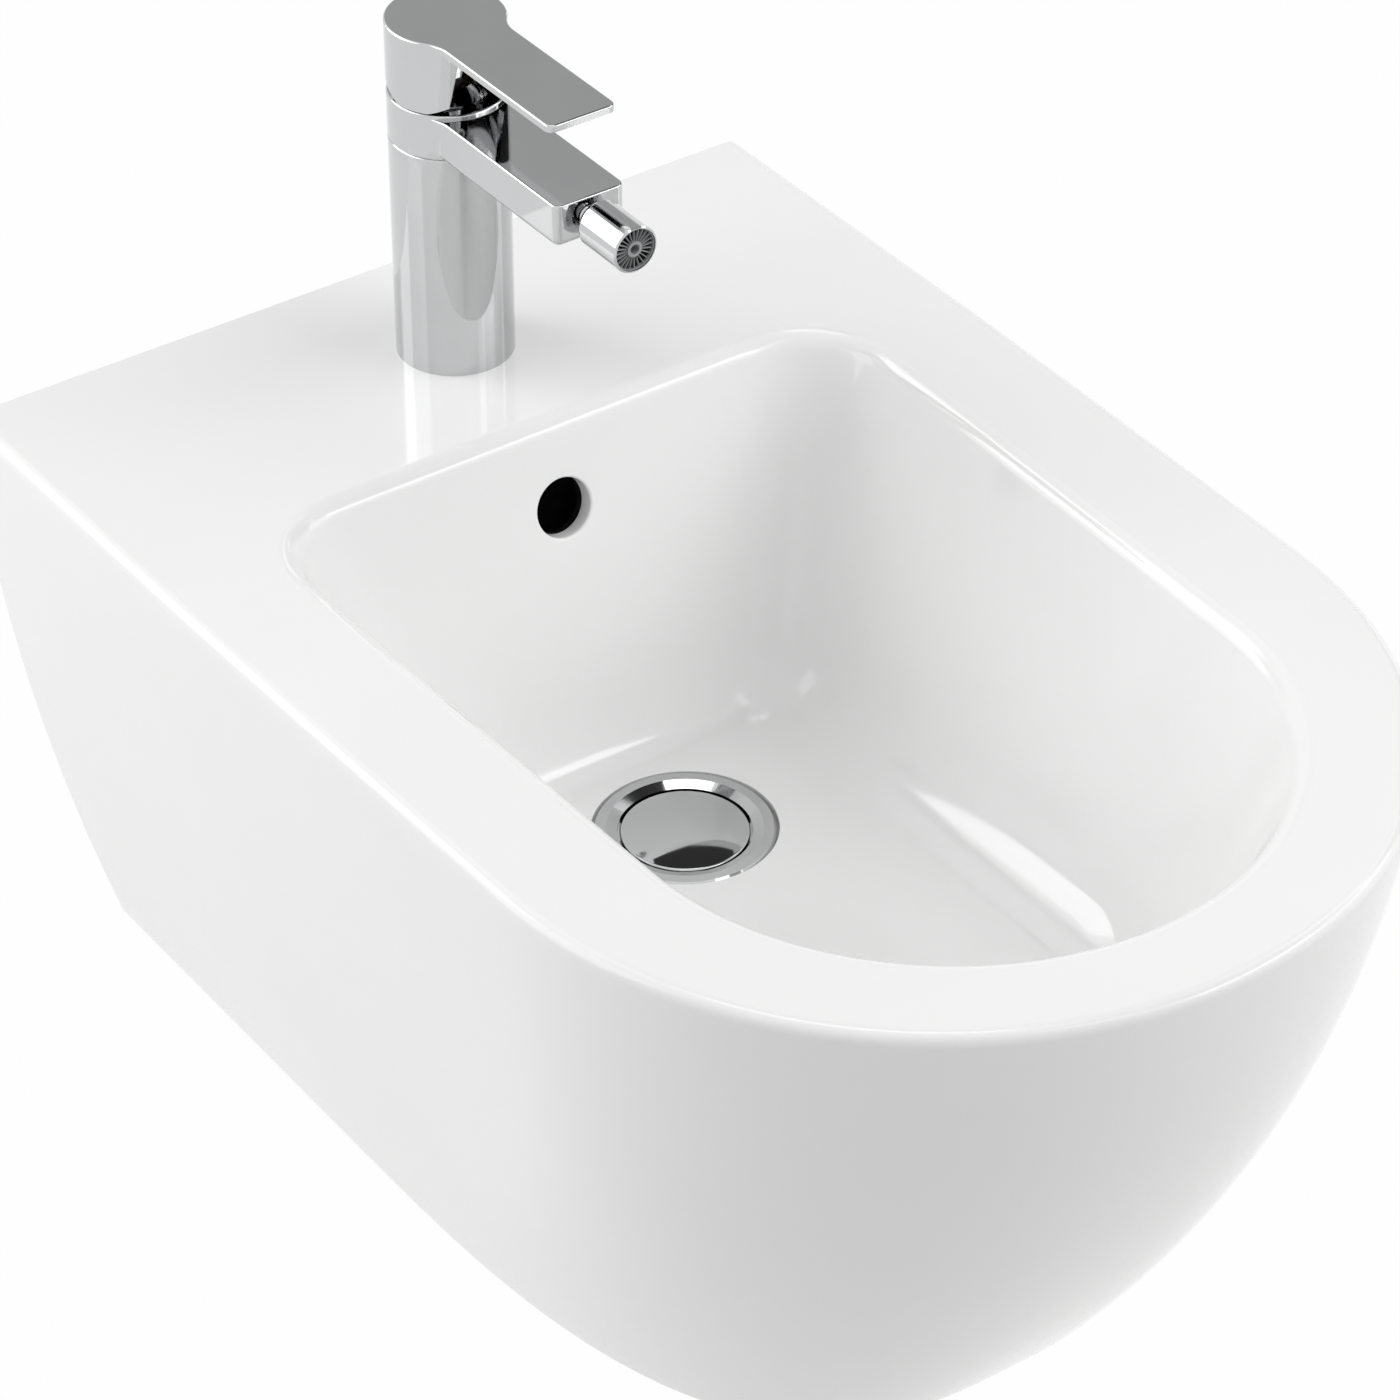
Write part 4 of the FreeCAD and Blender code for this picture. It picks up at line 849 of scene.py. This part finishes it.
def seen_directly(tree):
    """1 for rays from the camera and for mirrored and refracted ones, 0 for the light on the object."""
    path = tree.nodes.new("ShaderNodeLightPath")
    first = tree.nodes.new("ShaderNodeMath")
    second = tree.nodes.new("ShaderNodeMath")
    for made in (first, second):
        made.operation = "MAXIMUM"
    tree.links.new(path.outputs["Is Camera Ray"], first.inputs[0])
    tree.links.new(path.outputs["Is Glossy Ray"], first.inputs[1])
    tree.links.new(first.outputs[0], second.inputs[0])
    tree.links.new(path.outputs["Is Transmission Ray"], second.inputs[1])
    return second.outputs[0]


def world():
    """White where it is seen or mirrored, and a weaker fill light on the object."""
    made = bpy.data.worlds.new("studio")
    made.use_nodes = True
    tree = made.node_tree
    fill = tree.nodes["Background"]
    white = tree.nodes.new("ShaderNodeBackground")
    for light, strength in ((fill, FILL_STRENGTH), (white, WHITE_STRENGTH)):
        light.inputs["Color"].default_value = WHITE
        light.inputs["Strength"].default_value = strength
    mix = tree.nodes.new("ShaderNodeMixShader")
    tree.links.new(seen_directly(tree), mix.inputs["Fac"])
    tree.links.new(fill.outputs[0], mix.inputs[1])
    tree.links.new(white.outputs[0], mix.inputs[2])
    tree.links.new(mix.outputs[0], tree.nodes["World Output"].inputs["Surface"])
    bpy.context.scene.world = made


def floor():
    """A pale floor that looks white and keeps a faint shadow."""
    material, tree = empty_material("floor")
    plain = tree.nodes.new("ShaderNodeBsdfDiffuse")
    plain.inputs["Color"].default_value = (FLOOR_GREY, FLOOR_GREY, FLOOR_GREY, 1)
    white = tree.nodes.new("ShaderNodeEmission")
    white.inputs["Strength"].default_value = WHITE_STRENGTH
    share = tree.nodes.new("ShaderNodeMath")
    share.operation = "MULTIPLY"
    share.inputs[1].default_value = FLOOR_WHITE_SHARE
    mix = tree.nodes.new("ShaderNodeMixShader")
    output = tree.nodes.new("ShaderNodeOutputMaterial")
    tree.links.new(seen_directly(tree), share.inputs[0])
    tree.links.new(share.outputs[0], mix.inputs["Fac"])
    tree.links.new(plain.outputs[0], mix.inputs[1])
    tree.links.new(white.outputs[0], mix.inputs[2])
    tree.links.new(mix.outputs[0], output.inputs["Surface"])
    bm = bmesh.new()
    bmesh.ops.create_circle(bm, cap_ends=True, segments=FLOOR_STEPS, radius=FLOOR_R,
                            matrix=Matrix.Translation((0, 0, BASE_Z - FLOOR_DROP)))
    made = object_from(bm, "floor")
    paint(made, material)


def stage():
    bpy.context.scene.view_settings.view_transform = "Standard"
    camera()
    world()
    floor()
    for lamp in LAMPS:
        softbox(*lamp)
    for row in CARDS:
        card(*row)


dress()
stage()
